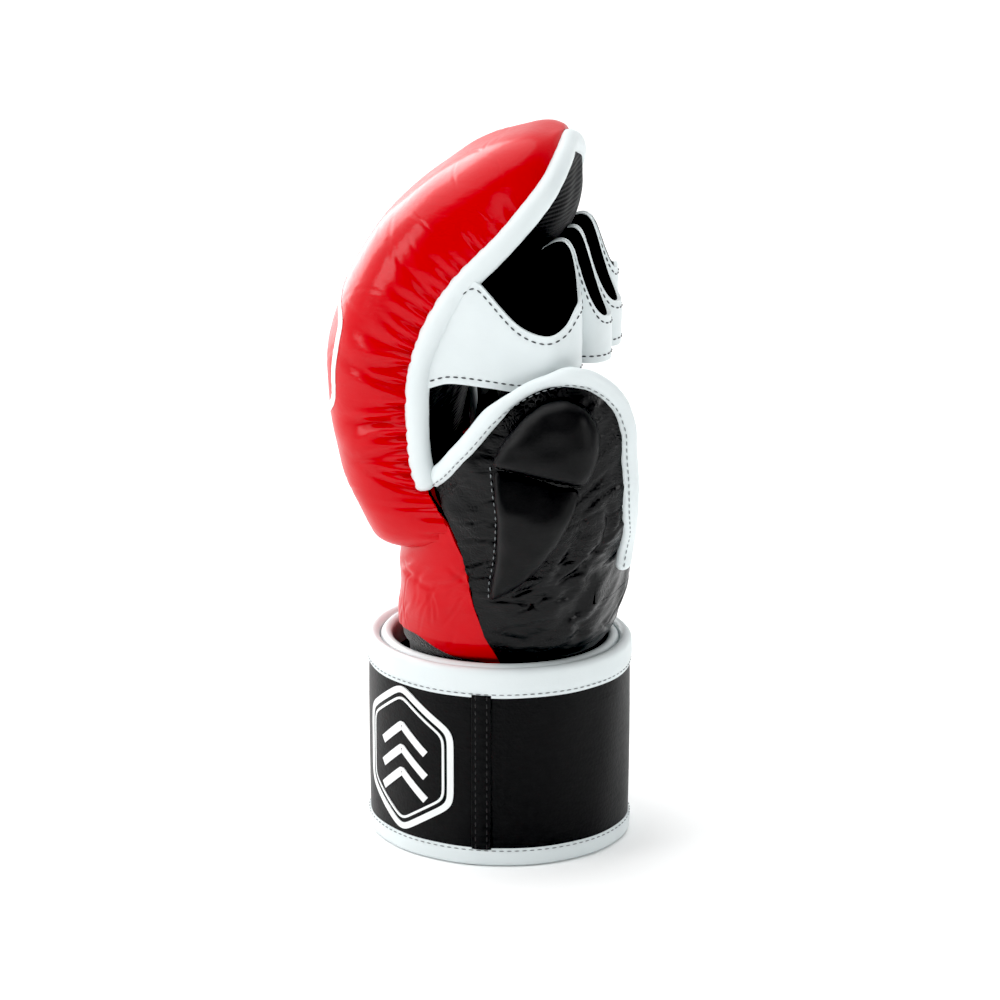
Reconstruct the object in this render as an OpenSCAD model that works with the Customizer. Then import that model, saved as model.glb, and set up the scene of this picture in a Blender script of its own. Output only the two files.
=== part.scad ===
// Left-hand mixed martial arts sparring glove, standing on its closed wrist wrap.
// +X is the palm side, -X the back of the hand, -Y the thumb side, +Z towards the fingertips.
// The origin is the centre of the wrist opening, in the plane that the wrap stands on.

/* [Wrist wrap] */
// Height of the wrap, rim to rim
wrap_height = 77; // [70:0.5:84]
// Half width of the wrap's inside, palm to back
wrap_half_x = 37.7; // [36.5:0.1:39]
// Half width of the wrap's inside, side to side
wrap_half_y = 34.1; // [33.5:0.1:36]
// Thickness of the padded strap
strap_thickness = 3.6; // [3:0.1:3.8]
// Thickness of its bound rims
rim_thickness = 4.6; // [4.2:0.1:4.7]
// Height of the bound rim at the top
top_rim = 10; // [7:0.5:12]
// Height of the bound rim at the bottom
bottom_rim = 6.5; // [5:0.5:8]

/* [Leather] */
// Thickness of the leather panels
leather = 1.6; // [1.2:0.1:2]
// Thickness of the textile linings
lining = 0.8; // [0.6:0.1:1]
// Thickness of the edge binding, leather folded round an edge
binding = 3; // [2:0.1:3.5]

/* [Knuckle pad] */
// Squareness of the pad's shoulders, where 2 is an ellipse
pad_square = 3.2; // [2.4:0.1:3.6]
// Diameter of the rolled binding along the pad's edge
bead = 8.4; // [7:0.1:9]

/* [Finger loops] */
// Distance from one finger to the next
finger_pitch = 22.5; // [21:0.1:22.6]
// Height of a loop's lower edge
loop_bottom = 186; // [185:0.5:190]
// Leather thickness of a loop
loop_leather = 1.5; // [1.2:0.1:1.8]

/* [Thumb guard] */
// Height of the two thumb pads above the cover
thumb_pad_rise = 7; // [4:0.5:9]

/* [Hidden] */

eps = 0.3;                      // gap between pieces of different bodies
step = 8;                       // degrees between the points of a wrap
red = "#c8101c";
black = "#1c1c1e";
white = "#eef1f0";
grey = "#3a3a3c";
foam_colour = "#d8c9a0";

// ---- Curves ----

function spline(a, b, c, d, t) =
    0.5 * ((2 * b) + (c - a) * t + (2 * a - 5 * b + 4 * c - d) * t * t + (3 * b - a - 3 * c + d) * t * t * t);

// A row of a table at u, from 0 to the last row's number, on a smooth curve through all the rows.
function along(table, u) =
    let (last = len(table) - 1, k = min(last - 1, max(0, floor(u))))
    spline(table[max(0, k - 1)], table[k], table[k + 1], table[min(last, k + 2)], u - k);

// A value read from rows of [key, value] in between which it runs straight.
function between(rows, key) = lookup(key, rows);

// Points from p towards q along a bow that stands `rise` off the chord, to its left; q itself is left out.
function bow(p, q, rise, n) =
    let (d = q - p, side = [-d[1], d[0]] / norm(d))
    [for (k = [0 : n - 1]) p + d * k / n + side * 4 * rise * (k / n) * (1 - k / n)];

function power(v, p) = sign(v) * pow(abs(v), p);

// ---- Closed solids from grids of points ----

function quads(m, n, base, turn, round) = [
    for (i = [0 : m - 2])
        for (j = [0 : round ? n - 1 : n - 2])
            let (k = (j + 1) % n, a = base + i * n + j, b = base + i * n + k, c = b + n, d = a + n)
            each (turn ? [[a, c, b], [a, d, c]] : [[a, b, c], [a, c, d]])
];

// The solid between an outer and an inner grid of the same size.
module shell(outer, inner, turn = false, round = false) {
    m = len(outer);
    n = len(outer[0]);
    size = m * n;
    ends = [
        for (j = [0 : round ? n - 1 : n - 2])
            let (k = (j + 1) % n, last = (m - 1) * n)
            each [
                [j, size + k, k], [j, size + j, size + k],
                [last + j, last + k, size + last + k], [last + j, size + last + k, size + last + j]
            ]
    ];
    sides = round ? [] : [
        for (i = [0 : m - 2])
            let (a = i * n, b = a + n, c = a + n - 1, d = c + n)
            each [
                [a, b, size + b], [a, size + b, size + a],
                [c, size + d, d], [c, size + c, size + d]
            ]
    ];
    rim = [for (f = concat(ends, sides)) turn ? [f[0], f[2], f[1]] : f];
    polyhedron(
        concat([for (row = outer) each row], [for (row = inner) each row]),
        concat(quads(m, n, 0, turn, round), quads(m, n, size, !turn, round), rim),
        convexity = 6
    );
}

function centre(ring) = [for (axis = [0 : 2]) [for (p = ring) p[axis]] * [for (p = ring) 1] / len(ring)];

// The solid through a stack of closed rings, with a fan of triangles over each end.
module loft(rings, turn = false) {
    m = len(rings);
    n = len(rings[0]);
    size = m * n;
    caps = [
        for (j = [0 : n - 1])
            let (k = (j + 1) % n, last = (m - 1) * n)
            each [[size, k, j], [size + 1, last + j, last + k]]
    ];
    polyhedron(
        concat([for (ring = rings) each ring], [centre(rings[0]), centre(rings[m - 1])]),
        concat(quads(m, n, 0, turn, true), [for (f = caps) turn ? [f[0], f[2], f[1]] : f]),
        convexity = 6
    );
}

// ---- Wrist wrap: one strap wound twice, as a spiral ----

// The strap is measured in degrees of winding from its inner end on the little-finger side.
wrap_centre = [3.3, 0];
pitch = rim_thickness + eps;
inner_end = 360;
flap_start = 539;
flap_ends = [612, 666, 706];

function wrap_point(winding, out) =
    let (angle = 90 - winding, grow = pitch * winding / 360 + out)
    wrap_centre + [(wrap_half_x + grow) * cos(angle), (wrap_half_y + grow) * sin(angle)];

function steps(from, to, size) =
    let (n = ceil((to - from) / size))
    [for (k = [0 : n]) from + (to - from) * k / n];

// A length of strap, between two windings, two distances from the inner face and two heights.
module strap(from, to, low, high, bottom, top) {
    windings = steps(from, to, step);
    translate([0, 0, bottom])
        linear_extrude(top - bottom)
            polygon(concat(
                [for (w = windings) wrap_point(w, low)],
                [for (k = [len(windings) - 1 : -1 : 0]) wrap_point(windings[k], high)]
            ));
}

panel_low = (rim_thickness - strap_thickness) / 2;
panel_high = panel_low + strap_thickness;
panel_top = wrap_height - top_rim;
seam_gap = 0.25;                // degrees left free at each fold of the flap

module strap_panel(from, to, colour)
    color(colour) strap(from, to, panel_low, panel_high, bottom_rim, panel_top);
module strap_top(from, to) color(white) strap(from, to, 0, rim_thickness, panel_top, wrap_height);
module strap_bottom(from, to) color(white) strap(from, to, 0, rim_thickness, 0, bottom_rim);

module wrap_inner_panel() strap_panel(0, inner_end, grey);
module wrap_inner_top_binding() strap_top(0, inner_end);
module wrap_inner_bottom_binding() strap_bottom(0, inner_end);
module wrap_outer_panel() strap_panel(inner_end, flap_start - seam_gap, black);
module wrap_outer_top_binding() strap_top(inner_end, flap_start - seam_gap);
module wrap_outer_bottom_binding() strap_bottom(inner_end, flap_start - seam_gap);

// Velour on the inside of the first turn.
module wrap_lining()
    color(black) strap(4, 352, panel_low - lining - 0.2, panel_low - 0.2, bottom_rim + 1, panel_top - 1);

// Hook-and-loop tape: the soft half on the first turn's outside, the hooks under the flap's last stretch.
tape = 0.45;
tape_bottom = 14;
tape_top = 60;

module loop_patch()
    color(grey) strap(196, 344, panel_high + 0.15, panel_high + 0.15 + tape, tape_bottom, tape_top);

module hook_patch()
    color(black)
        strap(
            flap_ends[1] + 6, flap_ends[2] - 8, panel_low - tape - 0.1, panel_low - 0.1,
            tape_bottom + 2, tape_top - 2
        );

module flap_panel(k)
    strap_panel((k == 0 ? flap_start : flap_ends[k - 1]) + seam_gap, flap_ends[k] - seam_gap, black);
module flap_top(k)
    strap_top((k == 0 ? flap_start : flap_ends[k - 1]) + seam_gap, flap_ends[k] - seam_gap);
module flap_bottom(k)
    strap_bottom((k == 0 ? flap_start : flap_ends[k - 1]) + seam_gap, flap_ends[k] - seam_gap);
module flap_end_binding()
    color(white) strap(flap_ends[2] - seam_gap, flap_ends[2] + 4, 0, rim_thickness, 0, wrap_height);

// ---- Hand sleeve: rings that widen from the wrist into the thumb guard and the little-finger side ----

// Each row: height, centre x, half width in x, centre y, half width in y.
thumb_rings = [
    [3, 3.3, 34.6, -0.3, 31.2], [60, 3.3, 34.6, -0.3, 31.2], [76, 3.3, 34.8, -0.3, 31.4],
    [83, 5, 38, -1.3, 35], [97, 8, 41.5, -2.5, 41], [113, 9.5, 42, -3.5, 43.5], [135, 17, 44, -7, 45],
    [158, 20, 43, -9, 45.5], [178, 23, 38.5, -10.5, 42.5], [190, 25, 34, -12, 38]
];
ulnar_rings = [
    [3, 3.3, 34.6, -0.3, 31.2], [60, 3.3, 34.6, -0.3, 31.2], [76, 3.3, 34.8, -0.3, 31.4],
    [83, 5, 38, -1.3, 35], [97, 8, 41.5, -2.5, 41], [113, 9.5, 42, -2, 45], [135, 14, 42, 0, 47.5],
    [158, 15, 38, 0, 49], [178, 15, 36, 0, 49], [190, 15, 34, 0, 49]
];
sleeve_square = 2.5;

function ring_at(rings, z) =
    let (k = max([for (i = [0 : len(rings) - 2]) rings[i][0] <= z ? i : 0]),
         u = k + (z - rings[k][0]) / (rings[k + 1][0] - rings[k][0]))
    along(rings, u);

// A point of the sleeve at a height and an angle: 0 at the palm, -90 at the thumb, 180 at the back.
function sleeve_point(z, angle, inset) =
    let (r = ring_at(sin(angle) < 0 ? thumb_rings : ulnar_rings, z), p = 2 / sleeve_square)
    [
        r[1] + (r[2] - inset) * power(cos(angle), p),
        r[3] + (r[4] - inset) * power(sin(angle), p),
        z
    ];

// The angle at which the sleeve passes x at height z, on the thumb side or, with side 1, on the other.
function sleeve_angle(z, x, side = -1) =
    let (r = ring_at(side < 0 ? thumb_rings : ulnar_rings, z))
    side * acos(power(min(1, max(-1, (x - r[1]) / r[2])), sleeve_square / 2));

// Where the red back panel meets the black side panel: rows of [z, x].
back_seam = [[3, 8.5], [78, 8.5], [88, 4.3], [100, 1], [110, -0.5], [119, -2], [131, -7.6], [141, -14.3]];

// A panel of the sleeve. Each row is [z, first angle, last angle].
module sleeve_panel(rows, thickness, inset = 0, columns = 20) {
    function grid(d) = [
        for (r = rows) [for (j = [0 : columns]) sleeve_point(r[0], r[1] + (r[2] - r[1]) * j / columns, d)]
    ];
    shell(grid(inset), grid(inset + thickness), turn = true);
}

wrist_heights = [4, 30, 60, 76, 79, 82, 86];
bend_height = 86.5;             // height of the wrist bend's axis
bend_x = 6;                     // and its place in x
bend_slope = tan(10.6);         // the hand's lower edge rises away from the axis, to leave room to bend

// Lower edge of the hand's panels, at an angle round the sleeve.
function hand_foot(angle) =
    let (p = sleeve_point(bend_height, angle, 0)) bend_height + 0.5 + abs(p[0] - bend_x) * bend_slope;

module wrist_back_panel()
    color(red)
        sleeve_panel(
            [for (z = wrist_heights) [z, sleeve_angle(z, between(back_seam, z)) - 0.3,
                sleeve_angle(z, between(back_seam, z), 1) - 360 + 0.3]],
            leather
        );

module wrist_heel_panel()
    color(black)
        sleeve_panel(
            [for (z = wrist_heights) [z, sleeve_angle(z, between(back_seam, z), 1) - 0.3,
                sleeve_angle(z, between(back_seam, z)) + 0.3]],
            leather
        );

module sleeve_lining() {
    function rings(inset) =
        [for (z = wrist_heights)
            [for (a = [0 : 10 : 350]) sleeve_point(min(84, max(6, z)), -a, inset)]];
    color(black) shell(rings(leather + 0.3), rings(leather + 0.3 + lining), turn = true, round = true);
}

// A panel between the sloped lower edge and a level or listed top. Angles run from first to last.
module hand_panel(first, last, top, rows = 4, columns = 12) {
    function spot(i, j, d) =
        let (a = first + (last - first) * j / columns, low = hand_foot(a), high = top(a))
        sleeve_point(low + (high - low) * i / rows, a, d);
    function grid(d) = [for (i = [0 : rows]) [for (j = [0 : columns]) spot(i, j, d)]];
    shell(grid(0), grid(leather), turn = true);
}

seam_low = sleeve_angle(100, between(back_seam, 100));
palm_edge = 38;                 // degrees either side of the palm's middle where the side panels end

// Red panel under the knuckle pad, on the back of the hand, between the two black sides.
module hand_back_panel() {
    function from(z) = min(seam_low, sleeve_angle(z, between(back_seam, z))) - 1.1;
    function to(z) = between(ulnar_root, z) - 360 - 0.9 + 1.8;
    function spot(i, j, d) =
        let (z = 92 + 5 * i, a = from(z) + (to(z) - from(z)) * j / 12, low = hand_foot(a))
        sleeve_point(low + (112 - low) * i / 4, a, d);
    function grid(d) = [for (i = [0 : 4]) [for (j = [0 : 12]) spot(i, j, d)]];
    color(red) shell(grid(0), grid(leather), turn = true);
}

// Black heel of the palm.
heel_top = 112;
module palm_heel_panel() color(black) hand_panel(palm_edge - 0.7, -palm_edge + 1, function (a) heel_top);

// Black panel at the thumb side, between the wrist and the thumb guard's fold.
swing_height = 100.4;
module thumb_side_panel()
    color(black) hand_panel(-palm_edge - 0.5, seam_low + 0.5, function (a) swing_height - 0.4);

// On the little-finger side the black panel rises to the knuckles and is open to the palm.
// Rows of [z, angle] for its palm edge and for its edge at the pad.
ulnar_edge = [[94, 38.6], [113, 38.6], [118, 40], [126, 43.5], [140, 52], [155, 66], [162, 78]];
ulnar_root = [[94, 98], [100, 98], [113, 102.5], [119, 105], [131, 116], [140, 122.5], [162, 132]];
ulnar_top = 162;

module ulnar_side_panel() {
    function spot(i, j, d) =
        let (z = i == 0 ? 94 : 100 + (ulnar_top - 100) * (i - 1) / 9,
             a = between(ulnar_root, z) + (between(ulnar_edge, z) - between(ulnar_root, z)) * j / 12)
        sleeve_point(i == 0 ? hand_foot(a) : z, a, d);
    function grid(d) = [for (i = [0 : 10]) [for (j = [0 : 12]) spot(i, j, d)]];
    color(black) shell(grid(0), grid(leather), turn = true);
}

// A rolled binding: a tube along a path, with the directions that stand across it given for each point.
module edge_tube(path, across, radius, turn = true) {
    n = len(path);
    function dir(i) = let (d = path[min(n - 1, i + 1)] - path[max(0, i - 1)]) d / norm(d);
    function ringed(i) =
        let (t = dir(i), u = cross(t, across[i]), side = u / norm(u), up = cross(side, t))
        [for (a = [0 : 45 : 315]) path[i] + radius * (side * cos(a) + up * sin(a))];
    loft([for (i = [0 : n - 1]) ringed(i)], turn);
}

// The direction out of the sleeve at a point of it.
function sleeve_out(z, angle) =
    let (p = sleeve_point(z, angle, 0), q = sleeve_point(z, angle + 2, 0), r = sleeve_point(z + 1, angle, 0),
         n = cross(q - p, r - p))
    n / norm(n);

// Places for a binding that sits on the edge of a sleeve panel: `over` is the way off the edge.
module sleeve_binding(places, over, radius) {
    function at(k) = sleeve_point(places[k][0], places[k][1], leather / 2) + over[k];
    n = len(places);
    edge_tube(
        [for (k = [0 : n - 1]) at(k)], [for (k = [0 : n - 1]) sleeve_out(places[k][0], places[k][1])], radius
    );
}

edge_radius = binding - 0.4;

module ulnar_edge_binding() {
    places = [for (z = [117 : 5 : 157]) [z, between(ulnar_edge, z)]];
    color(white) sleeve_binding(places, [for (p = places) [edge_radius + 0.5, 0, 1]], edge_radius);
}

module heel_edge_binding() {
    places = [for (a = [-26 : 7 : 30]) [heel_top, a]];
    color(black) sleeve_binding(places, [for (p = places) [0, 0, edge_radius + 0.3]], edge_radius);
}

// ---- Knuckle pad: a pillow lofted along the back of the hand, from its overhang to the fingertips ----

// Each row: edge x, edge z, half width, crown height, lining depth, tilt of the crown from the level.
pad_rows = [
    [-12, 116.5, 25, 19, -8, -3], [-7, 120, 35.5, 34, -18, -2], [-6, 125, 41.5, 38, -17, -1],
    [-9.5, 133.5, 44.5, 38.5, -12, 0], [-17, 147, 44, 36.6, -3, 0], [-19.5, 166, 44, 38.2, 4, 0],
    [-18, 190, 44, 39.8, 8, 9], [-7, 214, 43, 38, 13, 38], [12, 235, 39.5, 32.8, 14.5, 47],
    [23.5, 250, 30, 21.5, 11, 57], [27, 259, 17, 10.5, 5.5, 66], [27, 263.5, 3, 4.5, 2, 72]
];
last_row = len(pad_rows) - 1;
curl_row = 5;                   // the row where the fingers' part of the pad begins
curl_gap = 0.015;               // as a share of a row, left free at that fold

// A point of the pad's skin: u along it, angle round it, and how far outside the skin.
// Angle 0 is the thumb-side edge, 90 the crown, 180 the far edge and -90 the lining.
function pad_point(u, angle, out) =
    let (r = along(pad_rows, u), back = sin(angle) >= 0, p = back ? 2 / pad_square : 1,
         rise = (back ? r[3] : r[4]) + out)
    [
        r[0] - rise * power(sin(angle), p) * cos(r[5]),
        -(r[2] + out) * power(cos(angle), p),
        r[1] + rise * power(sin(angle), p) * sin(r[5])
    ];

// Rows of points between the angles that `start` gives for each row and their mirror images.
function pad_grid(from, to, rows, start, turn, columns, out) = [
    for (i = [0 : rows])
        let (u = from + (to - from) * i / rows, a = start(u))
        [for (j = [0 : columns]) pad_point(u, a + (turn - 2 * a) * j / columns, out)]
];

bead_clear = bead / 2 + 0.5;    // the cover, lining and foam stop this far from the edge

function cover_start(u) =
    let (r = along(pad_rows, u)) asin(min(0.6, pow(bead_clear / (r[3] - leather), pad_square / 2)));
function lining_start(u) = let (r = along(pad_rows, u)) -acos(max(0.2, 1 - (bead_clear + 0.7) / r[2]));

module pad_cover(from, to, rows)
    color(red)
        shell(
            pad_grid(from, to, rows, function (u) cover_start(u), 180, 16, 0),
            pad_grid(from, to, rows, function (u) cover_start(u), 180, 16, -leather), turn = true
        );

module pad_lining(from, to, rows)
    color(black)
        shell(
            pad_grid(from, to, rows, function (u) lining_start(u), -180, 12, 0),
            pad_grid(from, to, rows, function (u) lining_start(u), -180, 12, -lining)
        );

// The foam has flat edges, so its rings skip the two edge angles.
round_angles = concat([for (a = [12 : 12 : 168]) a], [for (a = [192 : 12 : 348]) a]);

module pad_foam(from, to, rows) {
    function spot(u, a) =
        let (p = pad_point(u, a, -leather - 0.8),
             w = max(0.8, along(pad_rows, u)[2] - bead_clear - 0.9 - max(0, u - 8) * 2.5))
        [p[0], min(w, max(-w, p[1])), p[2]];
    color(foam_colour)
        loft([
            for (i = [0 : rows]) [for (a = round_angles) spot(from + (to - from) * i / rows, a)]
        ], turn = true);
}

// The rolled binding along the pad's edge: `side` is -1 at the thumb and 1 at the little finger.
function edge_point(u, side) = let (r = along(pad_rows, u)) [r[0], side * max(0, r[2] - 1), r[1]];
function edge_across(u) = let (t = along(pad_rows, u)[5]) [-cos(t), 0, sin(t)];

module pad_binding(from, to, side)
    color(white)
        edge_tube(
            [for (k = [0 : 4]) edge_point(from + (to - from) * k / 4, side)],
            [for (k = [0 : 4]) edge_across(from + (to - from) * k / 4)], bead / 2
        );

hand_from = 0.05;
hand_to = curl_row - curl_gap;
finger_from = curl_row + curl_gap;
binding_start = 3.95;           // the bound edge begins above the side panels' corner

module hand_pad_cover() pad_cover(hand_from, hand_to, 12);
module hand_pad_foam() pad_foam(hand_from + 0.08, hand_to, 12);
module hand_pad_lining() pad_lining(hand_from, hand_to, 12);
module hand_thumb_binding() pad_binding(binding_start, hand_to, -1);
module hand_ulnar_binding() pad_binding(binding_start, hand_to, 1);
module finger_pad_cover() pad_cover(finger_from, last_row, 14);
module finger_pad_foam() pad_foam(finger_from, last_row - 1.7, 12);
module finger_pad_lining() pad_lining(finger_from, last_row - 0.5, 14);

// Round the fingers' part the binding runs up one edge, over the tip and down the other.
module finger_pad_binding() {
    length = last_row - 1 - finger_from;
    stops = concat([for (k = [0 : 9]) finger_from + length * k / 9], [10.35, 10.7, 10.9]);
    n = len(stops) - 1;
    color(white)
        edge_tube(
            concat([for (u = stops) edge_point(u, -1)], [for (k = [n : -1 : 0]) edge_point(stops[k], 1)]),
            concat([for (u = stops) edge_across(u)], [for (k = [n : -1 : 0]) edge_across(stops[k])]), bead / 2
        );
}

// ---- Finger loops: U-shaped bands that hang from the pad's lining ----

loop_reach = [38, 45, 45, 40];  // how far each loop reaches towards the palm
loop_round = 10.8;              // outer radius of a loop's rounded end
web_peak = [32.8, 235];         // x and z of the peaks between the fingers

// Side view of the walls between the fingers, as [x, z].
web_outline = [
    [-7.5, loop_bottom + 3.5], [60, loop_bottom], [60, 203], [43, 204], [40.5, 209], [36, 224], [34.3, 232],
    web_peak, [31.2, 232], [24.8, 221.5], [6.2, 204.3]
];
// Side view of the outer wall, which is sewn to the pad's bound edge.
outer_outline = [
    [-13.2, loop_bottom - 4.5], [20, loop_bottom - 3], [60, loop_bottom], [60, 205], [38, 206], [27, 202.5],
    [18, 206], [9, 216], [5.5, 219], [2, 217], [-5, 209], [-10.4, 197]
];

// Plan of a band whose rounded end reaches to x = reach, with walls `inset` inside its outer face.
module band_plan(reach, inset, from)
    union() {
        translate([reach - loop_round, 0]) circle(loop_round - inset, $fn = 36);
        translate([from, inset - loop_round])
            square([reach - loop_round - from, 2 * (loop_round - inset)]);
    }

module band(reach, outer, inner)
    translate([0, 0, loop_bottom - 10])
        linear_extrude(60)
            difference() {
                band_plan(reach, outer, -20);
                band_plan(reach, inner, -30);
            }

module side_view(outline, y0, y1)
    translate([0, y1, 0]) rotate([90, 0, 0]) linear_extrude(y1 - y0) polygon(outline);

module finger_loop(k, outer, inner)
    intersection() {
        translate([0, (k - 1.5) * finger_pitch, 0]) band(loop_reach[k], outer, inner);
        union() {
            y = (k - 1.5) * finger_pitch;
            side_view(k == 0 ? outer_outline : web_outline, y - 12, y);
            side_view(k == 3 ? outer_outline : web_outline, y, y + 12);
        }
    }

module loop_outside(k) color(white) finger_loop(k, 0, loop_leather);
module loop_inside(k) color(black) finger_loop(k, loop_leather + 0.02, loop_leather + lining);

// ---- Thumb guard: a padded half shell that stands beside the index finger ----

// The guard is laid out on lines across it, numbered by the height at which they pass x = 26.
// They lean with the crease between the two pads.
crease = 156.3;
lean_rows = [[115, 0], [crease, 0.22]];
function guard_height(line, x) = line - between(lean_rows, line) * (x - 26);

// Rows of [line, x] for the guard's slanted front edge and its palm edge.
guard_front = [
    [100, 1.8], [110, 0.2], [120, -1.6], [129, -7], [137, -13], [140, -12.5], [144, -8.5], [155.5, 1],
    [168, 9.3], [176.5, 16.3], [182, 22.3], [186, 28], [190, 36]
];
guard_palm = [
    [100, 42], [112, 43.6], [119, 51], [128, 54], [143, 55], [160, 55.5], [174, 55],
    [182, 53], [186, 50], [189, 46], [190, 43]
];

// A point of the guard on a line, a share of the way from the palm edge to the front edge.
function guard_point(line, share, inset) =
    let (xp = between(guard_palm, line), xf = between(guard_front, line),
         ap = sleeve_angle(guard_height(line, xp), xp), af = sleeve_angle(guard_height(line, xf), xf),
         a = ap + (af - ap) * share, x = sleeve_point(line, a, 0)[0],
         z = guard_height(line, sleeve_point(guard_height(line, x), a, 0)[0]))
    sleeve_point(z, a, inset);

module guard_panel(lines, thickness, inset = 0) {
    function grid(d) = [for (l = lines) [for (j = [0 : 10]) guard_point(l, j / 10, d)]];
    shell(grid(inset), grid(inset + thickness), turn = true);
}

base_lines = [swing_height + 0.2, 106, 112, 117, 122, 129, 136, 140, 144, 150, crease - 0.2];
tip_lines = [crease + 0.2, 160, 164, 168, 172.5, 176.5, 180, 183, 186, 188.5, 190];

module thumb_base_cover() color(black) guard_panel(base_lines, leather);
module thumb_base_lining() color(black) guard_panel(base_lines, lining, leather + 0.02);
module thumb_tip_cover() color(black) guard_panel(tip_lines, leather);
module thumb_tip_lining() color(black) guard_panel(tip_lines, lining, leather + 0.02);

// The bound edge runs up the slanted front, over the top and down the palm side.
function guard_out(line, share) =
    let (p = guard_point(line, share, 0), q = guard_point(line, share + (share < 0.5 ? 0.02 : -0.02), 0),
         r = guard_point(line - 1, share, 0), n = cross(q - p, r - p) * (share < 0.5 ? -1 : 1))
    n / norm(n);

module guard_binding(places) {
    path = [for (p = places) guard_point(p[0], p[1], leather / 2) + [p[2], 0, p[3]]];
    color(white) edge_tube(path, [for (p = places) guard_out(p[0], p[1])], edge_radius);
}

off = edge_radius + 0.7;
front_off = [-0.75 * off, 0.75 * off];

module thumb_base_front_binding()
    guard_binding([for (l = [145 : 2.7 : 155.8]) [l, 1, front_off[0], front_off[1]]]);

module thumb_base_palm_binding()
    guard_binding([for (l = [118 : 6.3 : 155.8]) [l, 0, off, 0]]);

module thumb_tip_binding()
    guard_binding(concat(
        [for (l = [157 : 4.5 : 184]) [l, 1, front_off[0], front_off[1]]],
        [[187, 1, front_off[0], front_off[1]]],
        [for (k = [0 : 2]) [190, 0.75 - 0.25 * k, 0, off]],
        [[189.3, 0, 0.7 * off, 0.8 * off], [185, 0, off, 0.4 * off], [179, 0, off, 0.15 * off]],
        [for (l = [172 : -5 : 157]) [l, 0, off, 0]]
    ));

// Outlines of the two pads on the guard, as [x, z].
tip_outline = concat(
    bow([10.3, 158.2], [31, 182.5], 1.5, 5), bow([31, 182.5], [46.8, 167], 4, 5),
    bow([46.8, 167], [41.7, 151], 1, 3), bow([41.7, 151], [10.3, 158.2], 0, 4)
);
base_outline = concat(
    bow([10.7, 155.6], [41, 148.8], 0, 4), bow([41, 148.8], [7.5, 103.5], 4.5, 7),
    bow([7.5, 103.5], [10.7, 155.6], -1.7, 6)
);

function middle(outline) =
    [for (axis = [0, 1]) [for (p = outline) p[axis]] * [for (p = outline) 1] / len(outline)];

// A puffed pad on the guard: rings that shrink towards the middle, `out` above the cover.
function pad_ring(outline, share, out) =
    let (c = middle(outline))
    [for (p = outline) let (q = c + (p - c) * share) sleeve_point(q[1], sleeve_angle(q[1], q[0]), -out)];

pad_levels = [[1, 0.35], [0.97, 0.6], [0.86, 0.86], [0.65, 0.96], [0.35, 1], [0.06, 1]];

// The foam is a little smaller than the skin over it.
foam_share = 0.96;

module puffed_foam(outline) {
    low = 0.55;
    rise = thumb_pad_rise - pad_skin - 0.45;
    base = [for (s = [0.06, 0.5, 0.93]) pad_ring(outline, s, low)];
    dome = [for (l = pad_levels) pad_ring(outline, l[0] * foam_share, low + rise * l[1])];
    color(foam_colour) loft(concat(base, dome), turn = true);
}

module puffed_skin(outline) {
    low = 0.35;
    rise = thumb_pad_rise - pad_skin;
    inner = [for (l = pad_levels) pad_ring(outline, l[0], low + rise * l[1])];
    outer = [for (l = pad_levels) pad_ring(outline, min(1.05, l[0] * 1.05), low + rise * l[1] + pad_skin)];
    color(black) loft(concat([for (k = [len(inner) - 1 : -1 : 0]) inner[k]], outer), turn = true);
}

pad_skin = 1;
module thumb_tip_foam() puffed_foam(tip_outline);
module thumb_base_foam() puffed_foam(base_outline);
module thumb_tip_pad() puffed_skin(tip_outline);
module thumb_base_pad() puffed_skin(base_outline);

// Elastic loop inside the guard that holds the thumb.
module thumb_loop()
    color(grey)
        translate([30, -34.6, 130])
            linear_extrude(18)
                difference() {
                    circle(11.5, $fn = 36);
                    circle(10.5, $fn = 36);
                }

// ---- Pieces ----

wrist_back_panel();
wrist_heel_panel();
sleeve_lining();
wrap_inner_panel();
wrap_inner_top_binding();
wrap_inner_bottom_binding();
wrap_lining();
loop_patch();
wrap_outer_panel();
wrap_outer_top_binding();
wrap_outer_bottom_binding();
flap_panel(0);  // flap_root_panel
flap_top(0);  // flap_root_top_binding
flap_bottom(0);  // flap_root_bottom_binding
flap_panel(1);  // flap_mid_panel
flap_top(1);  // flap_mid_top_binding
flap_bottom(1);  // flap_mid_bottom_binding
flap_panel(2);  // flap_tip_panel
flap_top(2);  // flap_tip_top_binding
flap_bottom(2);  // flap_tip_bottom_binding
flap_end_binding();
hook_patch();
hand_back_panel();
palm_heel_panel();
thumb_side_panel();
ulnar_side_panel();
ulnar_edge_binding();
heel_edge_binding();
hand_pad_cover();
hand_pad_foam();
hand_pad_lining();
hand_thumb_binding();
hand_ulnar_binding();
finger_pad_cover();
finger_pad_foam();
finger_pad_lining();
finger_pad_binding();
loop_outside(0);  // index_loop
loop_outside(1);  // middle_loop
loop_outside(2);  // ring_loop
loop_outside(3);  // little_loop
loop_inside(0);  // index_loop_lining
loop_inside(1);  // middle_loop_lining
loop_inside(2);  // ring_loop_lining
loop_inside(3);  // little_loop_lining
thumb_base_cover();
thumb_base_lining();
thumb_base_foam();
thumb_base_pad();
thumb_base_front_binding();
thumb_base_palm_binding();
thumb_loop();
thumb_tip_cover();
thumb_tip_lining();
thumb_tip_foam();
thumb_tip_pad();
thumb_tip_binding();
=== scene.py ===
"""The visible leather, foam and cloth of a left-hand sparring glove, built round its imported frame.

Sizes are in millimetres until a mesh is made, and in metres from there on.
"""

import logging
import math
from collections.abc import Callable, Sequence
from dataclasses import dataclass, field
from enum import Enum

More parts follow.
